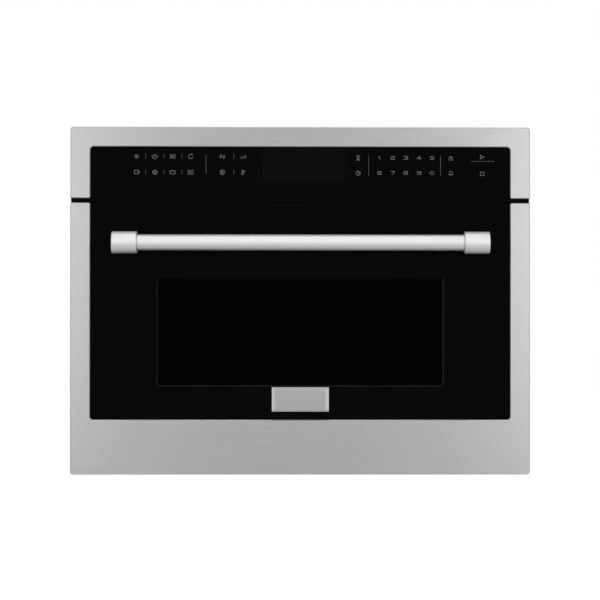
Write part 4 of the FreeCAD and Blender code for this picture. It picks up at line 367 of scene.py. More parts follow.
def plate(outlines, near, far, side=False):
    """A flat sheet with holes, drawn in the front view or, with side, in the side view."""

    def spot(u, v, depth):
        return (depth, u, v) if side else (u, depth, v)

    shape = bmesh.new()
    edges = []
    for outline in outlines:
        loop = [shape.verts.new(spot(u, v, near)) for u, v in outline]
        edges += [shape.edges.new(ends) for ends in zip(loop, loop[1:] + loop[:1])]
    filled = bmesh.ops.triangle_fill(shape, use_beauty=True, edges=edges)
    faces = [part for part in filled["geom"] if isinstance(part, bmesh.types.BMFace)]
    grown = bmesh.ops.extrude_face_region(shape, geom=faces, use_keep_orig=True)
    corners = [part for part in grown["geom"] if isinstance(part, bmesh.types.BMVert)]
    bmesh.ops.translate(shape, verts=corners, vec=Vector(spot(0, 0, far)) - Vector(spot(0, 0, near)))
    return shape


def plain_mesh(thing):
    """The mesh that an object's modifiers make."""
    ready = thing.evaluated_get(bpy.context.evaluated_depsgraph_get())
    return bpy.data.meshes.new_from_object(ready)


def fuse(*shapes, into=None):
    """Closed shapes that overlap as one closed shape, a new one or added to another."""
    things = [shape_object("fused", shape) for shape in shapes]
    for other in things[1:]:
        join = things[0].modifiers.new("join", "BOOLEAN")
        join.operation, join.solver, join.object = "UNION", "EXACT", other
    mesh = plain_mesh(things[0])
    joined = into or bmesh.new()
    joined.from_mesh(mesh)
    bmesh.ops.dissolve_degenerate(joined, dist=SLIVER, edges=joined.edges[:])
    for used in (mesh, *[thing.data for thing in things]):
        bpy.data.meshes.remove(used)
    return joined


def new_tree(name, **kinds):
    """A geometry tree with a geometry in and out and named inputs, whose identifiers it gives back."""
    tree = bpy.data.node_groups.new(name, "GeometryNodeTree")
    for way in ("INPUT", "OUTPUT"):
        tree.interface.new_socket("Geometry", in_out=way, socket_type="NodeSocketGeometry")
    keys = {}
    for word, kind in kinds.items():
        socket = tree.interface.new_socket(word, in_out="INPUT", socket_type=f"NodeSocket{kind}")
        keys[word] = socket.identifier
    return tree, keys, add(tree, "NodeGroupInput").outputs


def end_tree(tree, geometry, look):
    """Ends a tree in realised instances with their finish."""
    plain = add(tree, "GeometryNodeRealizeInstances", {"Geometry": geometry}).outputs[0]
    dressed = add(tree, "GeometryNodeSetMaterial", {"Geometry": plain, "Material": look}).outputs[0]
    add(tree, "NodeGroupOutput", {0: dressed})


def settle(name, thing, tree, keys, **values):
    """Runs a tree on an object and gives back the plain mesh that it makes."""
    modifier = thing.modifiers.new(tree.name, "NODES")
    modifier.node_group = tree
    for word, value in values.items():
        modifier[keys[word]] = value
    mesh = plain_mesh(thing)
    mesh.name = name
    thing.modifiers.remove(modifier)
    bpy.data.objects.remove(thing)
    return mesh


def scatter(name, places, shape, size, look, body):
    """One piece with a shape on every place, which is a point and the direction that it faces."""
    tree, keys, given = new_tree(f"{name}_tree", Shape="Object", Size="Float", Finish="Material")
    facing = add(tree, "GeometryNodeInputNamedAttribute", {"Name": "facing"}, data_type="FLOAT_VECTOR")
    turn = add(tree, "FunctionNodeAlignRotationToVector", {"Vector": facing.outputs[0]}, axis="Z").outputs[0]
    model = add(tree, "GeometryNodeObjectInfo", {"Object": given["Shape"]}).outputs["Geometry"]
    inputs = {"Points": given["Geometry"], "Instance": model, "Rotation": turn, "Scale": given["Size"]}
    end_tree(tree, add(tree, "GeometryNodeInstanceOnPoints", inputs).outputs[0], given["Finish"])
    mesh = bpy.data.meshes.new(f"{name}_points")
    mesh.from_pydata([point for point, _ in places], [], [])
    facings = mesh.attributes.new("facing", "FLOAT_VECTOR", "POINT")
    for value, (_, direction) in zip(facings.data, places):
        value.vector = direction
    holder = link(f"{name}_points", mesh)
    made = settle(name, holder, tree, keys, Shape=shape, Size=size, Finish=finish(look))
    bpy.data.objects.remove(shape)
    return dress(link(name, made), look, body)


def perforated(outline, columns, rows, pitch, hole, thick, look):
    """A flat sheet in an outline, with a field of holed cells that a geometry tree lays."""
    kinds = {"Columns": "Int", "Rows": "Int", "Pitch": "Float", "Cell": "Object", "Finish": "Material"}
    tree, keys, given = new_tree("perforated_field", **kinds)
    spans = []
    for word in ("Columns", "Rows"):
        steps = add(tree, "ShaderNodeMath", {0: given[word], 1: 1.0}, operation="SUBTRACT").outputs[0]
        factors = {0: steps, 1: given["Pitch"]}
        spans.append(add(tree, "ShaderNodeMath", factors, operation="MULTIPLY").outputs[0])
    counts = {"Vertices X": given["Columns"], "Vertices Y": given["Rows"]}
    grid = add(tree, "GeometryNodeMeshGrid", {"Size X": spans[0], "Size Y": spans[1], **counts}).outputs[0]
    model = add(tree, "GeometryNodeObjectInfo", {"Object": given["Cell"]}).outputs["Geometry"]
    cells = add(tree, "GeometryNodeInstanceOnPoints", {"Points": grid, "Instance": model}).outputs[0]
    end_tree(tree, cells, given["Finish"])
    cell = shape_object("perforated_cell", perforated_cell(pitch, hole, thick))
    holder = link("field_holder", bpy.data.meshes.new("field_holder"))
    values = {"Columns": columns, "Rows": rows, "Pitch": pitch, "Cell": cell, "Finish": finish(look)}
    made = settle("perforated_field", holder, tree, keys, **values)
    bpy.data.objects.remove(cell)
    shape = bmesh.new()
    shape.from_mesh(made)
    bpy.data.meshes.remove(made)
    bmesh.ops.remove_doubles(shape, verts=shape.verts[:], dist=pitch / 100)
    close_sheet(shape, outline, thick)
    return shape


def perforated_cell(pitch, hole, thick, sides=8):
    """One square of sheet with an eight-sided hole through it, open at its sides."""
    shape = bmesh.new()
    rim = circle(0, 0, hole, sides)
    reach = [pitch / 2 / max(abs(u), abs(v)) for u, v in rim]
    levels = []
    for height in (-thick / 2, thick / 2):
        outer = [shape.verts.new((u * share, v * share, height)) for (u, v), share in zip(rim, reach)]
        inner = [shape.verts.new((u, v, height)) for u, v in rim]
        levels.append((outer, inner))
    (back, back_hole), (front, front_hole) = levels
    for i in range(sides):
        j = (i + 1) % sides
        shape.faces.new((front[i], front[j], front_hole[j], front_hole[i]))
        shape.faces.new((back[j], back[i], back_hole[i], back_hole[j]))
        shape.faces.new((front_hole[i], front_hole[j], back_hole[j], back_hole[i]))
    return shape


def close_sheet(shape, outline, thick):
    """Joins a field's open edges to an outline on both faces, and closes the outline's sides."""
    loops = []
    for level in (-thick / 2, thick / 2):
        open_edges = [edge for edge in shape.edges if edge.is_boundary]
        rim = [edge for edge in open_edges if all(abs(vert.co.z - level) < thick / 10 for vert in edge.verts)]
        loop = [shape.verts.new((u, v, level)) for u, v in outline]
        sides = [shape.edges.new(ends) for ends in zip(loop, loop[1:] + loop[:1])]
        bmesh.ops.triangle_fill(shape, use_beauty=True, edges=rim + sides)
        loops.append(loop)
    back, front = loops
    for i in range(len(back)):
        shape.faces.new((back[i - 1], back[i], front[i], front[i - 1]))


# Front


class OVEN_OT_front(bpy.types.Operator):
    """Finishes the steel surrounds and the bare plate, and makes the door glass with its window"""

    bl_idname = "oven.front"
    bl_label = "Steel and glass front"

    bevel_angle = 5.0

    def execute(self, context):
        sizes = context.scene.oven_front
        paint("brushed_stainless", "door_frame", "control_frame")
        paint("printed_glass", "control_glass")
        paint("black_stove_enamel", "front_plate")
        self.glass(sizes)
        self.shade_the_gap(sizes)
        self.bare_plate(sizes)
        return {"FINISHED"}

    def glass(self, sizes):
        """Black border, darker window and the painted highlight beside and under it, where the window's edges
        would catch light.
        """
        low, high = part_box("door_glass")
        corner, bend, wide = sizes.glass_corner, sizes.window_corner, sizes.window_line
        outer = rounded(low.x, low.z, high.x, high.z, (corner, corner, 0, 0))
        half, foot, head = sizes.window_half, sizes.window_low, sizes.window_high
        window = rounded(-half, foot, half, head, (bend,) * 4)
        border = plate((outer, window), low.y, high.y)
        glass = piece("door_glass_border", border, "printed_glass", "door")
        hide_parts("door_glass")
        piece("window_pane", plate((window,), low.y, high.y), "tinted_glass", "door")
        ring = rounded(-half - wide, foot - wide, half + wide, head + wide, (bend + wide,) * 4)
        # The painted highlight ends halfway round both upper corners, where the edges face down and stay dark
        corner_points = len(ring) // 4
        half_corner = corner_points // 2 + 1
        end = 2 * corner_points + half_corner
        outside, inside = [outline[-half_corner:] + outline[:end] for outline in (ring, window)]
        line = plate((outside + inside[::-1],), low.y - sizes.ink, low.y)
        piece("window_line", line, "fired_ink", "door")

    def shade_the_gap(self, sizes):
        """Black strip stuck under the control panel: painted shade that darkens the gap over the door."""
        low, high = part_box("control_frame")
        front, foot = low.y + sizes.shade_strip_setback, low.z - sizes.shade_strip_height
        bend = sizes.shade_strip_height / 2
        outline = rounded(front, foot, front + sizes.shade_strip_depth, low.z, (bend, bend, 0, 0))
        strip = plate((outline,), low.x + sizes.shade_strip_inset, high.x - sizes.shade_strip_inset, side=True)
        piece("gap_seal", strip, "foam_rubber", "chassis")

    def bare_plate(self, sizes):
        """Plain plate under the window, whose border slopes back softly."""
        low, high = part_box("plaque")
        levels = (0, high.y), (0, low.y + sizes.plate_slope), (sizes.plate_bevel, low.y)
        shape = bmesh.new()
        loops = []
        for inset, depth in levels:
            outline = rounded(low.x + inset, low.z + inset, high.x - inset, high.z - inset, SQUARE_CORNERS)
            loops.append([shape.verts.new((x, depth, z)) for x, z in outline])
        for one, two in zip(loops, loops[1:]):
            for i in range(4):
                shape.faces.new((one[i - 1], one[i], two[i], two[i - 1]))
        shape.faces.new(loops[0])
        shape.faces.new(loops[-1])
        made = piece("bare_plate", shape, "brushed_stainless", "door", self.bevel_angle)
        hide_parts("plaque")


class OVEN_OT_handle(bpy.types.Operator):
    """Makes the turned bar handle and its two posts"""

    bl_idname = "oven.handle"
    bl_label = "Bar handle"

    foot_share = 0.91
    waist_turns = (0.3, 0.6, 0.9, 1.2, 1.5)

    def execute(self, context):
        sizes = context.scene.oven_front
        low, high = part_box("handle_bar")
        middle = (low + high) / 2
        radius = (high.z - low.z) / 2
        reach = (high.x - low.x) / 2
        bar = lathe([(0, -reach), (radius, -reach), (radius, reach), (0, reach)], tipped(middle, "Y"))
        grip = piece("grip_bar", bar, "satin_stainless", "door")
        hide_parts("handle_bar")
        for side in ("left", "right"):
            node = f"handle_post_{side}"
            post = self.post(sizes, node, middle)
            made = piece(f"{side}_grip_post", post, "satin_stainless", "door")
            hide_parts(node)
        return {"FINISHED"}

    def post(self, sizes, node, middle):
        """A barrel with rounded rims on a waisted foot."""
        low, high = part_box(node)
        centre = Vector(((low.x + high.x) / 2, middle.y, middle.z))
        half, radius, edge = (high.x - low.x) / 2, (high.z - low.z) / 2, sizes.rim_round
        upper = quarter(radius - edge, half - edge, edge, 0)
        lower = quarter(radius - edge, edge - half, edge, -90)
        barrel = lathe([(0, -half), *lower, *upper, (0, half)], tipped(centre, "Y"))
        foot, neck, thick = radius * self.foot_share, sizes.neck_radius, sizes.foot_thick
        stand = high.y - middle.y
        bend = foot - neck
        waist = [(foot - bend * math.sin(t), thick + bend * (1 - math.cos(t))) for t in self.waist_turns]
        profile = [(0, 0), (foot, 0), (foot, thick / 2), *waist, (neck, stand), (0, stand)]
        stem = lathe(profile, tipped((centre.x, high.y, centre.z), "X"))
        return fuse(barrel, stem)


# Printed panel

# The door's middle and foot in pixels of the photograph, a pixel's size there and the foot's height
PHOTO_MIDDLE = 300.1
PHOTO_FOOT = 474.5
PIXEL = 1.3174 * MM
DOOR_FOOT = 2 * MM


def on_front(across, down):
    """Place on the front of a pixel of the photograph."""
    return (across - PHOTO_MIDDLE) * PIXEL, DOOR_FOOT + (PHOTO_FOOT - down) * PIXEL


def wave(z, half=3.6, rise=0.7, steps=12):
    """One and a half waves."""
    shares = spread(0, 1, steps + 1)
    return [(half * (2 * share - 1), z + rise * math.sin(3 * math.pi * share)) for share in shares]


def blade(turn, size=1.2):
    """One of a fan's curved blades."""
    lean = math.degrees(turn)
    return arc(size * math.cos(turn), size * math.sin(turn), size, 40 + lean, 200 + lean, 8)


def closed_box(left, low, right, high):
    corners = rounded(left, low, right, high, SQUARE_CORNERS)
    return corners + corners[:1]


def eased(line, cut=0.48, most=0.48, steps=(0, 0.25, 0.5, 0.75, 1)):
    """The line with its corners rounded."""
    closed = line[0] == line[-1]
    spots = [Vector(point) for point in (line[:-1] if closed else line)]
    curve = []
    for index, spot in enumerate(spots):
        if not closed and index in (0, len(spots) - 1):
            curve.append(spot)
            continue
        sides = [near - spot for near in (spots[index - 1], spots[(index + 1) % len(spots)])]
        start, end = [spot + side * min(cut / side.length, most) for side in sides]
        curve += [start * (1 - t) ** 2 + spot * 2 * t * (1 - t) + end * t**2 for t in steps]
    return curve + curve[:1] if closed else curve


# Plain marks, each at a pixel of the photograph and a list of lines in millimetres:
# the upper row and then the lower row on the left, then those on the right
MARKS = {
    (136.1, 156.5): [[(-3, 0), (3, 0)], [(-1.5, -2.6), (1.5, 2.6)], [(-1.5, 2.6), (1.5, -2.6)]],
    (154.4, 156.5): [
        arc(0, 0.6, 3.4, 180, 360), [(-4.2, 0.6), (4.2, 0.6)], [(-1, 1.6), (-1, 3)], [(1, 1.6), (1, 3)]
    ],
    (172.2, 156.5): [wave(2), wave(0), wave(-2)],
    (190.1, 156.5): [arc(0, 0, 2.8, 60, 350), [(1.2, 3.4), (1.4, 2.4), (2.6, 2.9)]],
    (221.9, 156.5): [
        [(-3.4, -1), (-2, 2.4), (-0.6, -1), (-3.4, -1)], [(0.6, 1), (2, -2.4), (3.4, 1), (0.6, 1)]
    ],
    (242.5, 156.5): [[(-3.6 + 2.4 * i, -2.4), (-3.6 + 2.4 * i, -1.2 + 1.2 * i)] for i in range(4)],
    (136.1, 172.3): [
        [(-3, 2.4), (-2.4, -2.4), (1.6, -2.4), (2.2, 2.4), (-3, 2.4)], arc(2.2, 0.2, 1.5, -80, 80)
    ],
    (154.4, 172.3): [arc(0, 0, 2.9), arc(0, 0, 1.6)],
    (172.2, 172.3): [
        [(-3, 1.6), (-3, -2.2), (3, -2.2), (3, 1.6)], [(-4, 1.6), (4, 1.6)], arc(0, 1.6, 1, 0, 180)
    ],
    (190.1, 172.3): [closed_box(-3.4, -2.4, 3.4, 2.4), [(-1.6, 0), (1.6, 0)], [(0, -1.4), (0, 1.4)]],
    (221.9, 172.3): [arc(0, 0, 3), *map(blade, (0, 2.1, 4.2))],
    (242.5, 172.3): [
        arc(-0.6, -2, 1.2, 60, 420), [(-1.2, -0.9), (-1.2, 2.8), (0, 2.8), (0, -0.9)],
        [(1.4, 2), (3, 2)], [(1.4, 0.6), (3, 0.6)],
    ],
    (357.9, 157.6): [[(-2.2, z), (2.2, z), (0, 0), (-2.2, z)] for z in (2.8, -2.8)],
    (357.9, 172.9): [arc(0, 0, 2.8), [(0, 1.7), (0, 0), (1.4, 0)]],
    (450.8, 157.6): [closed_box(-2.4, 0.4, 2.4, -2.6), arc(0, 0.4, 1.7, 0, 180)],
    (450.8, 172.9): [
        [(-2.8, -1.6), (2.8, -1.6)], [(-2, -1.6), (-2, 0.6), *arc(0, 0.6, 2, 180, 0, 8), (2, -1.6)],
        [(-0.6, -2.6), (0.6, -2.6)],
    ],
    (482.2, 157.0): [[(-2.2, -2), (-2.2, 3), (2.6, 0.5), (-2.2, -2)]],
    (482.2, 173.4): [closed_box(-2.3, -2.3, 2.3, 2.3)],
}
# Dividing lines, digits and display at pixels of the photograph
LONG_LINES = {205.6: (154.5, 174.0), 368.4: (155.7, 175.1), 440.5: (155.7, 175.1)}
SHORT_LINES = (145.3, 163.5, 181.5, 233.4)
SHORT_ROWS = (156.2, 172.1)
SHORT_RISE = 2.3
START_BAR = (471.0, 494.0, 160.9)
DIGIT_COLUMNS = (379.3, 392.5, 405.6, 418.9, 431.9)
DIGIT_ROWS = {157.5: "12345", 172.6: "67890"}
DISPLAY = (261.7, 181.2, 344.0, 148.0)
# Wide digits in a box of two by two, each a list of lines
DIGITS = {
    "0": [arc(0, 0, 1, steps=24)],
    "1": [[(-0.5, 0.6), (0.1, 1), (0.1, -1)]],
    "2": [[(-1, 1), (1, 1), (1, 0), (-1, 0), (-1, -1), (1, -1)]],
    "3": [[(-1, 1), (1, 1), (1, -1), (-1, -1)], [(-0.6, 0), (1, 0)]],
    "4": [[(0.5, -1), (0.5, 1)], [(0.5, 1), (-1, -0.3), (1, -0.3)]],
    "5": [[(1, 1), (-1, 1), (-1, 0.1), (1, 0.1), (1, -1), (-1, -1)]],
    "6": [[(1, 1), (-1, 1), (-1, -1), (0, -1)], [(-1, 0), (1, 0), (1, -1), (0, -1)]],
    "7": [[(-1, 1), (1, 1), (-0.2, -1)]],
    "8": [closed_box(-1, -1, 1, 1), [(-1, 0), (1, 0)]],
    "9": [[(-1, -1), (1, -1), (1, 1), (0, 1)], [(1, 0), (-1, 0), (-1, 1), (0, 1)]],
}
SHARP_DIGITS = "0147"


class OVEN_OT_print(bpy.types.Operator):
    """Prints the digits, the dividing lines and the plain marks on the control glass"""

    bl_idname = "oven.print"
    bl_label = "Printed panel"

    def execute(self, context):
        sizes = context.scene.oven_front
        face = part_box("control_glass")[0].y
        self.levels = face - sizes.ink, face
        self.width = sizes.hairline
        piece("panel_lines", self.lines(), "printed_ink", "chassis")
        self.width = sizes.stroke
        piece("panel_marks", self.marks(), "printed_ink", "chassis")
        digits = self.digits((sizes.digit_width / 2, sizes.digit_height / 2))
        piece("panel_digits", digits, "printed_ink", "chassis")
        left, low, right, high = DISPLAY
        corners = (sizes.display_corner,) * 4
        outline = rounded(*on_front(left, low), *on_front(right, high), corners)
        piece("display_pane", plate((outline,), *self.levels), "smoked_glass", "chassis")
        return {"FINISHED"}

    def lines(self):
        """Dividing lines."""
        lines = bmesh.new()
        for across, span in LONG_LINES.items():
            self.stroke(lines, [on_front(across, down) for down in span])
        for across in SHORT_LINES:
            for row in SHORT_ROWS:
                self.stroke(lines, [on_front(across, row - SHORT_RISE), on_front(across, row + SHORT_RISE)])
        left, right, down = START_BAR
        self.stroke(lines, [on_front(left, down), on_front(right, down)])
        return lines

    def marks(self):
        marks = bmesh.new()
        for (across, down), strokes in MARKS.items():
            self.mark(marks, on_front(across, down), strokes, (MM, MM))
        bmesh.ops.triangulate(marks, faces=marks.faces[:])
        return marks

    def digits(self, size):
        digits = bmesh.new()
        for row, text in DIGIT_ROWS.items():
            for across, digit in zip(DIGIT_COLUMNS, text):
                strokes = DIGITS[digit] if digit in SHARP_DIGITS else map(eased, DIGITS[digit])
                self.mark(digits, on_front(across, row), strokes, size)
        return digits

    def mark(self, shape, middle, strokes, size):
        """One digit or mark, whose lines meet or cross."""
        lines = []
        for stroke in strokes:
            lines.append(bmesh.new())
            self.stroke(lines[-1], [(middle[0] + u * size[0], middle[1] + v * size[1]) for u, v in stroke])
        fuse(*lines, into=shape)

    def stroke(self, shape, points):
        """A printed line of even width through points on the front, mitred at its corners."""
        spots = [Vector(point) for point in points]
        closed = (spots[0] - spots[-1]).length < self.width / 10
        if closed:
            spots.pop()
        runs = [(two - one).normalized() for one, two in zip(spots, spots[1:] + spots[:1])]
        if not closed:
            runs[-1] = runs[-2]
            spots[0] = spots[0] - runs[0] * self.width / 2
            spots[-1] = spots[-1] + runs[-1] * self.width / 2
        corners = []
        for index, spot in enumerate(spots):
            before = runs[index - 1] if index or closed else runs[0]
            aside = [Vector((-run.y, run.x)) for run in (before, runs[index])]
            mitre = (aside[0] + aside[1]) / (1 + aside[0].dot(aside[1])) * self.width / 2
            ring = [(edge.x, level, edge.y) for level in self.levels for edge in (spot - mitre, spot + mitre)]
            corners.append([shape.verts.new(ring[order]) for order in (0, 1, 3, 2)])
        for one, two in zip(corners, corners[1:] + (corners[:1] if closed else [])):
            for i in range(4):
                shape.faces.new((one[i], one[i - 1], two[i - 1], two[i]))
        if not closed:
            shape.faces.new(corners[0])
            shape.faces.new(corners[-1][::-1])


# Inside of the door


class OVEN_OT_door(bpy.types.Operator):
    """Finishes the inside of the door and makes its perforated screen"""

    bl_idname = "oven.door"
    bl_label = "Inside of the door"

    def execute(self, context):
        paint("grey_stove_enamel", "door_pan")
        paint("tempered_glass", "inner_glass")
        paint("black_ABS", "choke_cover", "door_top_trim")
        paint("white_polymer", "latch_bar")
        paint("zinc_plate", "hinge_channels", "hinge_pins", "hinge_springs", "handle_screws")
        sizes, front = context.scene.oven_inside, context.scene.oven_front
        low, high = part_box("rf_screen")
        pitch, thick = sizes.screen_pitch, high.y - low.y
        columns = math.floor(2 * front.window_half / pitch)
        rows = math.floor((front.window_high - front.window_low) / pitch)
        middle = Vector((0, (low.y + high.y) / 2, (front.window_low + front.window_high) / 2))
        outline = rounded(low.x, low.z - middle.z, high.x, high.z - middle.z, SQUARE_CORNERS)
        shape = perforated(outline, columns, rows, pitch, sizes.screen_hole, thick, "phosphated_steel")
        bmesh.ops.transform(shape, matrix=tipped(middle, "X"), verts=shape.verts[:])
        screen = piece("perforated_screen", shape, "phosphated_steel", "door")
        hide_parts("rf_screen")
        return {"FINISHED"}


# Cavity


class OVEN_OT_cavity(bpy.types.Operator):
    """Finishes the cavity and makes the glass tray, the guard's rivets and the lamp cover"""

    bl_idname = "oven.cavity"
    bl_label = "Cavity and turntable"

    # The tray's section, with its soft bends from the foot to the lip and back inside
    tray_segments = 128
    tray_glass = 5 * MM
    tray_rim = 12 * MM
    tray_depth = 14 * MM
    foot_bend = 6 * MM
    foot_rise = 0.6 * MM
    lip_round = 1 * MM
    lip_width = 1.8 * MM
    lip_fall = 0.6 * MM
    inner_rise = 0.7 * MM
    inner_bend = 5 * MM
    # Lugs under the tray
    lug_turns = (0, 120, 240)
    lug_reach = 26 * MM
    lug_length = 9 * MM
    lug_width = 7 * MM
    # Rivets of the guard, with the section of a head of unit radius
    rivets = 8
    rivet_inset = 4.2 * MM
    rivet_profile = ((0, 0), (1, 0), (0.9, 0.3), (0.6, 0.5), (0, 0.58))
    rivet_segments = 16
    guard_sheet = 0.8 * MM
    # Lamp cover, whose holes are a share of their pitch
    lamp_cells = 5
    lamp_hole_share = 0.38
    lamp_points = 48

    def execute(self, context):
        sizes = context.scene.oven_inside
        paint("drawn_stainless", "cavity_wrap", "cavity_floor", "cavity_back", "fan_guard")
        paint("white_polymer", "roller_ring", "roller_1", "roller_2", "roller_3", "turntable_coupler")
        paint("pressed_mica", "waveguide_cover")
        paint("tempered_glass", "lamp_bulb")
        self.tray()
        self.guard_rivets(sizes)
        self.lamp_cover(sizes)
        return {"FINISHED"}

    def tray(self):
        """Pressed glass tray with a smooth rim and three lugs under its floor."""
        low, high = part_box("turntable_tray")
        middle, outer, top = (low + high) / 2, (high.x - low.x) / 2, high.z - low.z
        thick, edge = self.tray_glass, self.lip_round
        floor, rim = top - self.tray_depth, outer - self.tray_rim
        level, wall = floor + thick, rim - thick / 2
        under = [(0, floor), (rim - self.foot_bend, floor), (rim, floor + self.foot_rise)]
        side = [(outer - edge, top - thick), (outer, top - thick + edge), (outer, top - edge)]
        lip = [(outer - edge, top), (outer - self.lip_width, top), (outer - thick / 2, top - self.lip_fall)]
        inside = [(wall, level + self.inner_rise), (wall - self.inner_bend, level), (0, level)]
        seat = Matrix.Translation((middle.x, middle.y, low.z))
        dish = lathe(under + side + lip + inside, seat, self.tray_segments)
        rise = floor + thick / 2
        shift = Matrix.Translation((self.lug_reach, 0, rise / 2))
        size = Matrix.Diagonal((self.lug_length, self.lug_width, rise, 1))
        lugs = []
        for turn in self.lug_turns:
            lugs.append(bmesh.new())
            place = seat @ Matrix.Rotation(math.radians(turn), 4, "Z") @ shift @ size
            bmesh.ops.create_cube(lugs[-1], size=1.0, matrix=place)
        tray = piece("glass_tray", fuse(dish, *lugs), "tempered_glass", "turntable")
        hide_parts("turntable_tray")

    def guard_rivets(self, sizes):
        low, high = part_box("fan_guard")
        middle, reach = (low + high) / 2, (high.x - low.x) / 2 - self.rivet_inset
        face = high.y - self.guard_sheet
        spots = circle(middle.x, middle.z, reach, self.rivets, 180 / self.rivets)
        places = [((x, face, z), (0, -1, 0)) for x, z in spots]
        rivet = shape_object("rivet", lathe(self.rivet_profile, Matrix.Identity(4), self.rivet_segments))
        scatter("guard_rivets", places, rivet, sizes.rivet_radius, "zinc_plate", "chassis")

    def lamp_cover(self, sizes):
        """Perforated disc that fills the lamp opening in the cavity's right wall."""
        low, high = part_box("lamp_bulb")
        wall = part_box("cavity_wrap")[1].x
        thick, pitch, across = sizes.lamp_sheet, sizes.lamp_pitch, self.lamp_cells
        middle = Vector((wall - thick / 2, (low.y + high.y) / 2, (low.z + high.z) / 2))
        disc = circle(0, 0, sizes.lamp_radius, self.lamp_points)
        hole = pitch * self.lamp_hole_share
        cover = perforated(disc, across, across, pitch, hole, thick, "drawn_stainless")
        bmesh.ops.transform(cover, matrix=tipped(middle, "Y"), verts=cover.verts[:])
        piece("lamp_cover", cover, "drawn_stainless", "chassis")


# Chassis


class OVEN_OT_chassis(bpy.types.Operator):
    """Finishes the galvanised chassis and sets its screws"""

    bl_idname = "oven.chassis"
    bl_label = "Chassis and screws"

    edge = 9 * MM
    side_margin = 30 * MM
    rear_columns = 4
    rear_rows = 4
    side_screws = 4
    # Sections of a screw of unit radius. The head's corners are turned off the washer's edges.
    washer_profile = ((0, 0), (1, 0), (1, 0.12), (0.92, 0.18), (0, 0.18))
    washer_segments = 24
    head_profile = ((0, 0.1), (0.68, 0.1), (0.68, 0.62), (0.58, 0.74), (0, 0.74))
    head_sides = 6
    head_turn = 7

    def execute(self, context):
        steel = ("base_plate", "cabinet_wrap", "rear_panel", "fan_duct", "waveguide", "lamp_box")
        paint("galvanised_steel", *steel, "hinge_brackets", "magnetron_yoke")
        paint("moulded_rubber", "cable_gland")
        paint("zinc_plate", "hinge_claws")
        low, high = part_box("rear_panel")
        left, right = low.x + self.edge, high.x - self.edge
        foot, head = low.z + self.edge, high.z - self.edge
        places = []
        for x in spread(left, right, self.rear_columns):
            places += [((x, high.y, z), (0, 1, 0)) for z in (foot, head)]
        for z in spread(foot, head, self.rear_rows)[1:-1]:
            places += [((x, high.y, z), (0, 1, 0)) for x in (left, right)]
        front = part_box("base_plate")[0].y
        for y in spread(front + self.side_margin, high.y - self.side_margin, self.side_screws):
            places += [((high.x, y, self.edge), (1, 0, 0)), ((low.x, y, self.edge), (-1, 0, 0))]
        radius = context.scene.oven_inside.screw_radius
        scatter("chassis_screws", places, self.screw(), radius, "zinc_plate", "chassis")
        return {"FINISHED"}

    def screw(self):
        """Hexagon washer head of unit radius."""
        washer = lathe(self.washer_profile, Matrix.Identity(4), self.washer_segments)
        turned = Matrix.Rotation(math.radians(self.head_turn), 4, "Z")
        head = lathe(self.head_profile, turned, self.head_sides)
        return shape_object("hex_screw", fuse(washer, head))


class OVEN_OT_works(bpy.types.Operator):
    """Finishes what the chassis holds: source, supply, fans, switches and board"""

    bl_idname = "oven.works"
    bl_label = "Works"

    looks = {
        "silicon_steel": ("transformer_core",),
        "copper_wire": ("transformer_coils",),
        "mill_aluminium": ("capacitor", "convection_fan", "magnetron_core"),
        "motor_paint": ("fan_motor", "turntable_motor", "blower_motor"),
        "blued_steel": ("heater_ring",),
        "grey_polypropylene": ("blower_scroll", "blower_wheel", "display_module"),
        "black_ABS": ("control_carrier", "interlock_switches"),
        "white_polymer": ("catch_boxes", "interlock_levers", "terminal_block"),
        "solder_mask": ("control_board",),
        "zinc_plate": ("thermostats",),
    }

    def execute(self, context):
        for look, nodes in self.looks.items():
            paint(look, *nodes)
        return {"FINISHED"}


# Stage


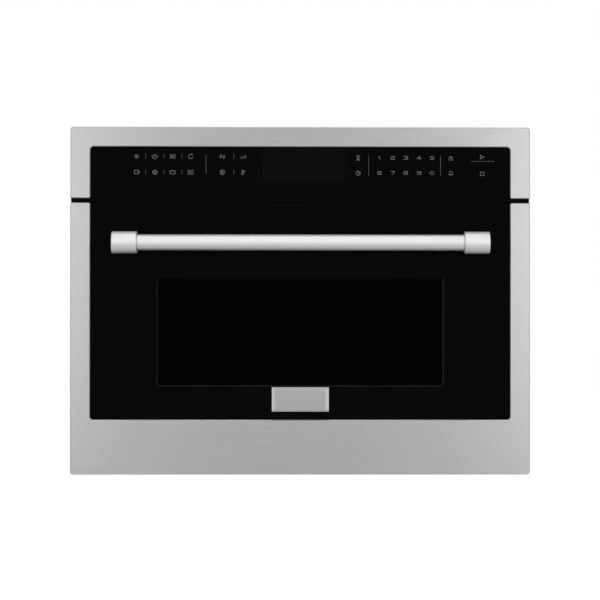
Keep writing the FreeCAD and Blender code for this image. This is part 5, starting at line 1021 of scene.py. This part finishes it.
class OVEN_OT_stage(bpy.types.Operator):
    """Makes the pale floor, the block that the oven stands on, the lights and the camera"""

    bl_idname = "oven.stage"
    bl_label = "Stage, light and camera"

    white = (1, 1, 1, 1)
    floor_tone = "EAEAEA"
    floor_half = 6.0
    floor_level = -0.14
    # How bright the floor is where it is seen, and how much that hides its shadow
    floor_glow = 1.12
    glow_share = 0.85
    block = (0.24, -0.19, 0.2)
    camera_spot = Vector((-0.0313, -2.774, 0.2092))
    camera_target = Vector((-0.0005, -0.274, 0.2319))
    camera_roll = 0.046
    scale = 1.3178 * MM
    photo_side = 600
    sensor = 36.0
    sight = 50.0
    fill = 0.5
    lamp_target = Vector((0, 0, 0.2))
    lamps = (
        ("left", (-1.3, -3.0, 0.6), (0.5, 1.5), 25.0),
        ("right", (1.3, -3.0, 0.6), (0.5, 1.5), 26.0),
        ("top", (0.0, -2.2, 2.1), (0.9, 0.9), 11.0),
        ("overhead", (0.0, -0.75, 2.5), (1.6, 0.7), 13.0),
        ("back", (0.4, 2.4, 2.2), (1.6, 1.6), 28.0),
    )

    def execute(self, context):
        self.world(context.scene)
        self.floor()
        for name, place, (width, height), power in self.lamps:
            lamp = bpy.data.lights.new(name, "AREA")
            lamp.shape = "RECTANGLE"
            lamp.size, lamp.size_y = width, height
            lamp.energy = power
            self.aim(link(name, lamp), Vector(place), self.lamp_target)
        self.camera(context.scene)
        context.scene.view_settings.view_transform = "Standard"
        return {"FINISHED"}

    def aim(self, thing, place, target):
        thing.location = place
        thing.rotation_euler = (target - place).to_track_quat("-Z", "Y").to_euler()

    def seen(self, tree):
        """One where a camera, mirror or glass ray looks, and zero for light that falls on the object."""
        rays = add(tree, "ShaderNodeLightPath").outputs
        both = {0: rays["Is Camera Ray"], 1: rays["Is Glossy Ray"]}
        either = add(tree, "ShaderNodeMath", both, operation="MAXIMUM").outputs[0]
        every = {0: either, 1: rays["Is Transmission Ray"]}
        return add(tree, "ShaderNodeMath", every, operation="MAXIMUM").outputs[0]

    def world(self, scene):
        world = bpy.data.worlds.new("studio")
        scene.world = world
        tree = empty_tree(world)
        ends = {"Value": self.seen(tree), "To Min": self.fill, "To Max": 1.0}
        strength = add(tree, "ShaderNodeMapRange", ends).outputs[0]
        shine = add(tree, "ShaderNodeBackground", {"Color": self.white, "Strength": strength})
        add(tree, "ShaderNodeOutputWorld", {"Surface": shine.outputs[0]})

    def floor(self):
        """White floor and block: seen they are almost white, and they keep a weak shadow."""
        look = bpy.data.materials.new("white_floor")
        tree = empty_tree(look)
        matt = add(tree, "ShaderNodeBsdfDiffuse", {"Color": (*linear(self.floor_tone), 1)}).outputs[0]
        glow = {"Color": self.white, "Strength": self.floor_glow}
        bright = add(tree, "ShaderNodeEmission", glow).outputs[0]
        shares = {0: self.seen(tree), 1: self.glow_share}
        share = add(tree, "ShaderNodeMath", shares, operation="MULTIPLY").outputs[0]
        mixed = add(tree, "ShaderNodeMixShader", {0: share, 1: matt, 2: bright}).outputs[0]
        add(tree, "ShaderNodeOutputMaterial", {"Surface": mixed})
        half, level = self.floor_half, self.floor_level
        ground = bpy.data.meshes.new("floor")
        corners = rounded(-half, -half, half, half, SQUARE_CORNERS)
        ground.from_pydata([(x, y, level) for x, y in corners], [], [(0, 1, 2, 3)])
        side, front, back = self.block
        stand = plate((rounded(-side, level, side, 0, SQUARE_CORNERS),), front, back)
        for thing in (link("floor", ground), shape_object("stand", stand)):
            thing.data.materials.append(look)

    def camera(self, scene):
        lens = bpy.data.cameras.new("camera")
        thing = link("camera", lens)
        self.aim(thing, self.camera_spot, self.camera_target)
        thing.rotation_euler.rotate_axis("Z", math.radians(self.camera_roll))
        distance = (self.camera_target - self.camera_spot).length
        lens.sensor_fit = "HORIZONTAL"
        lens.sensor_width = self.sensor
        lens.lens = lens.sensor_width * distance / (self.scale * self.photo_side)
        lens.clip_end = self.sight
        scene.camera = thing


PARTS = (
    OVEN_OT_front,
    OVEN_OT_handle,
    OVEN_OT_print,
    OVEN_OT_door,
    OVEN_OT_cavity,
    OVEN_OT_chassis,
    OVEN_OT_works,
    OVEN_OT_stage,
)


class OVEN_PT_dressing(bpy.types.Panel):
    """Lists the steps that dress the oven"""

    bl_label = "Microwave"
    bl_idname = "OVEN_PT_dressing"
    bl_space_type = "VIEW_3D"
    bl_region_type = "UI"
    bl_category = "Microwave"

    def draw(self, context):
        for part in PARTS:
            self.layout.operator(part.bl_idname)
        for key, group in GROUPS.items():
            for name in group.__annotations__:
                self.layout.prop(getattr(context.scene, key), name)


GROUPS = {"oven_front": FrontSizes, "oven_inside": InsideSizes, "oven_colours": FinishColours}


def register():
    for group in GROUPS.values():
        bpy.utils.register_class(group)
    for name, group in GROUPS.items():
        setattr(bpy.types.Scene, name, bpy.props.PointerProperty(type=group))
    for part in (*PARTS, OVEN_PT_dressing):
        bpy.utils.register_class(part)


def unregister():
    for part in (OVEN_PT_dressing, *reversed(PARTS)):
        bpy.utils.unregister_class(part)
    for name, group in GROUPS.items():
        delattr(bpy.types.Scene, name)
        bpy.utils.unregister_class(group)


def main():
    register()
    for part in PARTS:
        family, action = part.bl_idname.split(".")
        getattr(getattr(bpy.ops, family), action)()


if __name__ == "__main__":
    main()
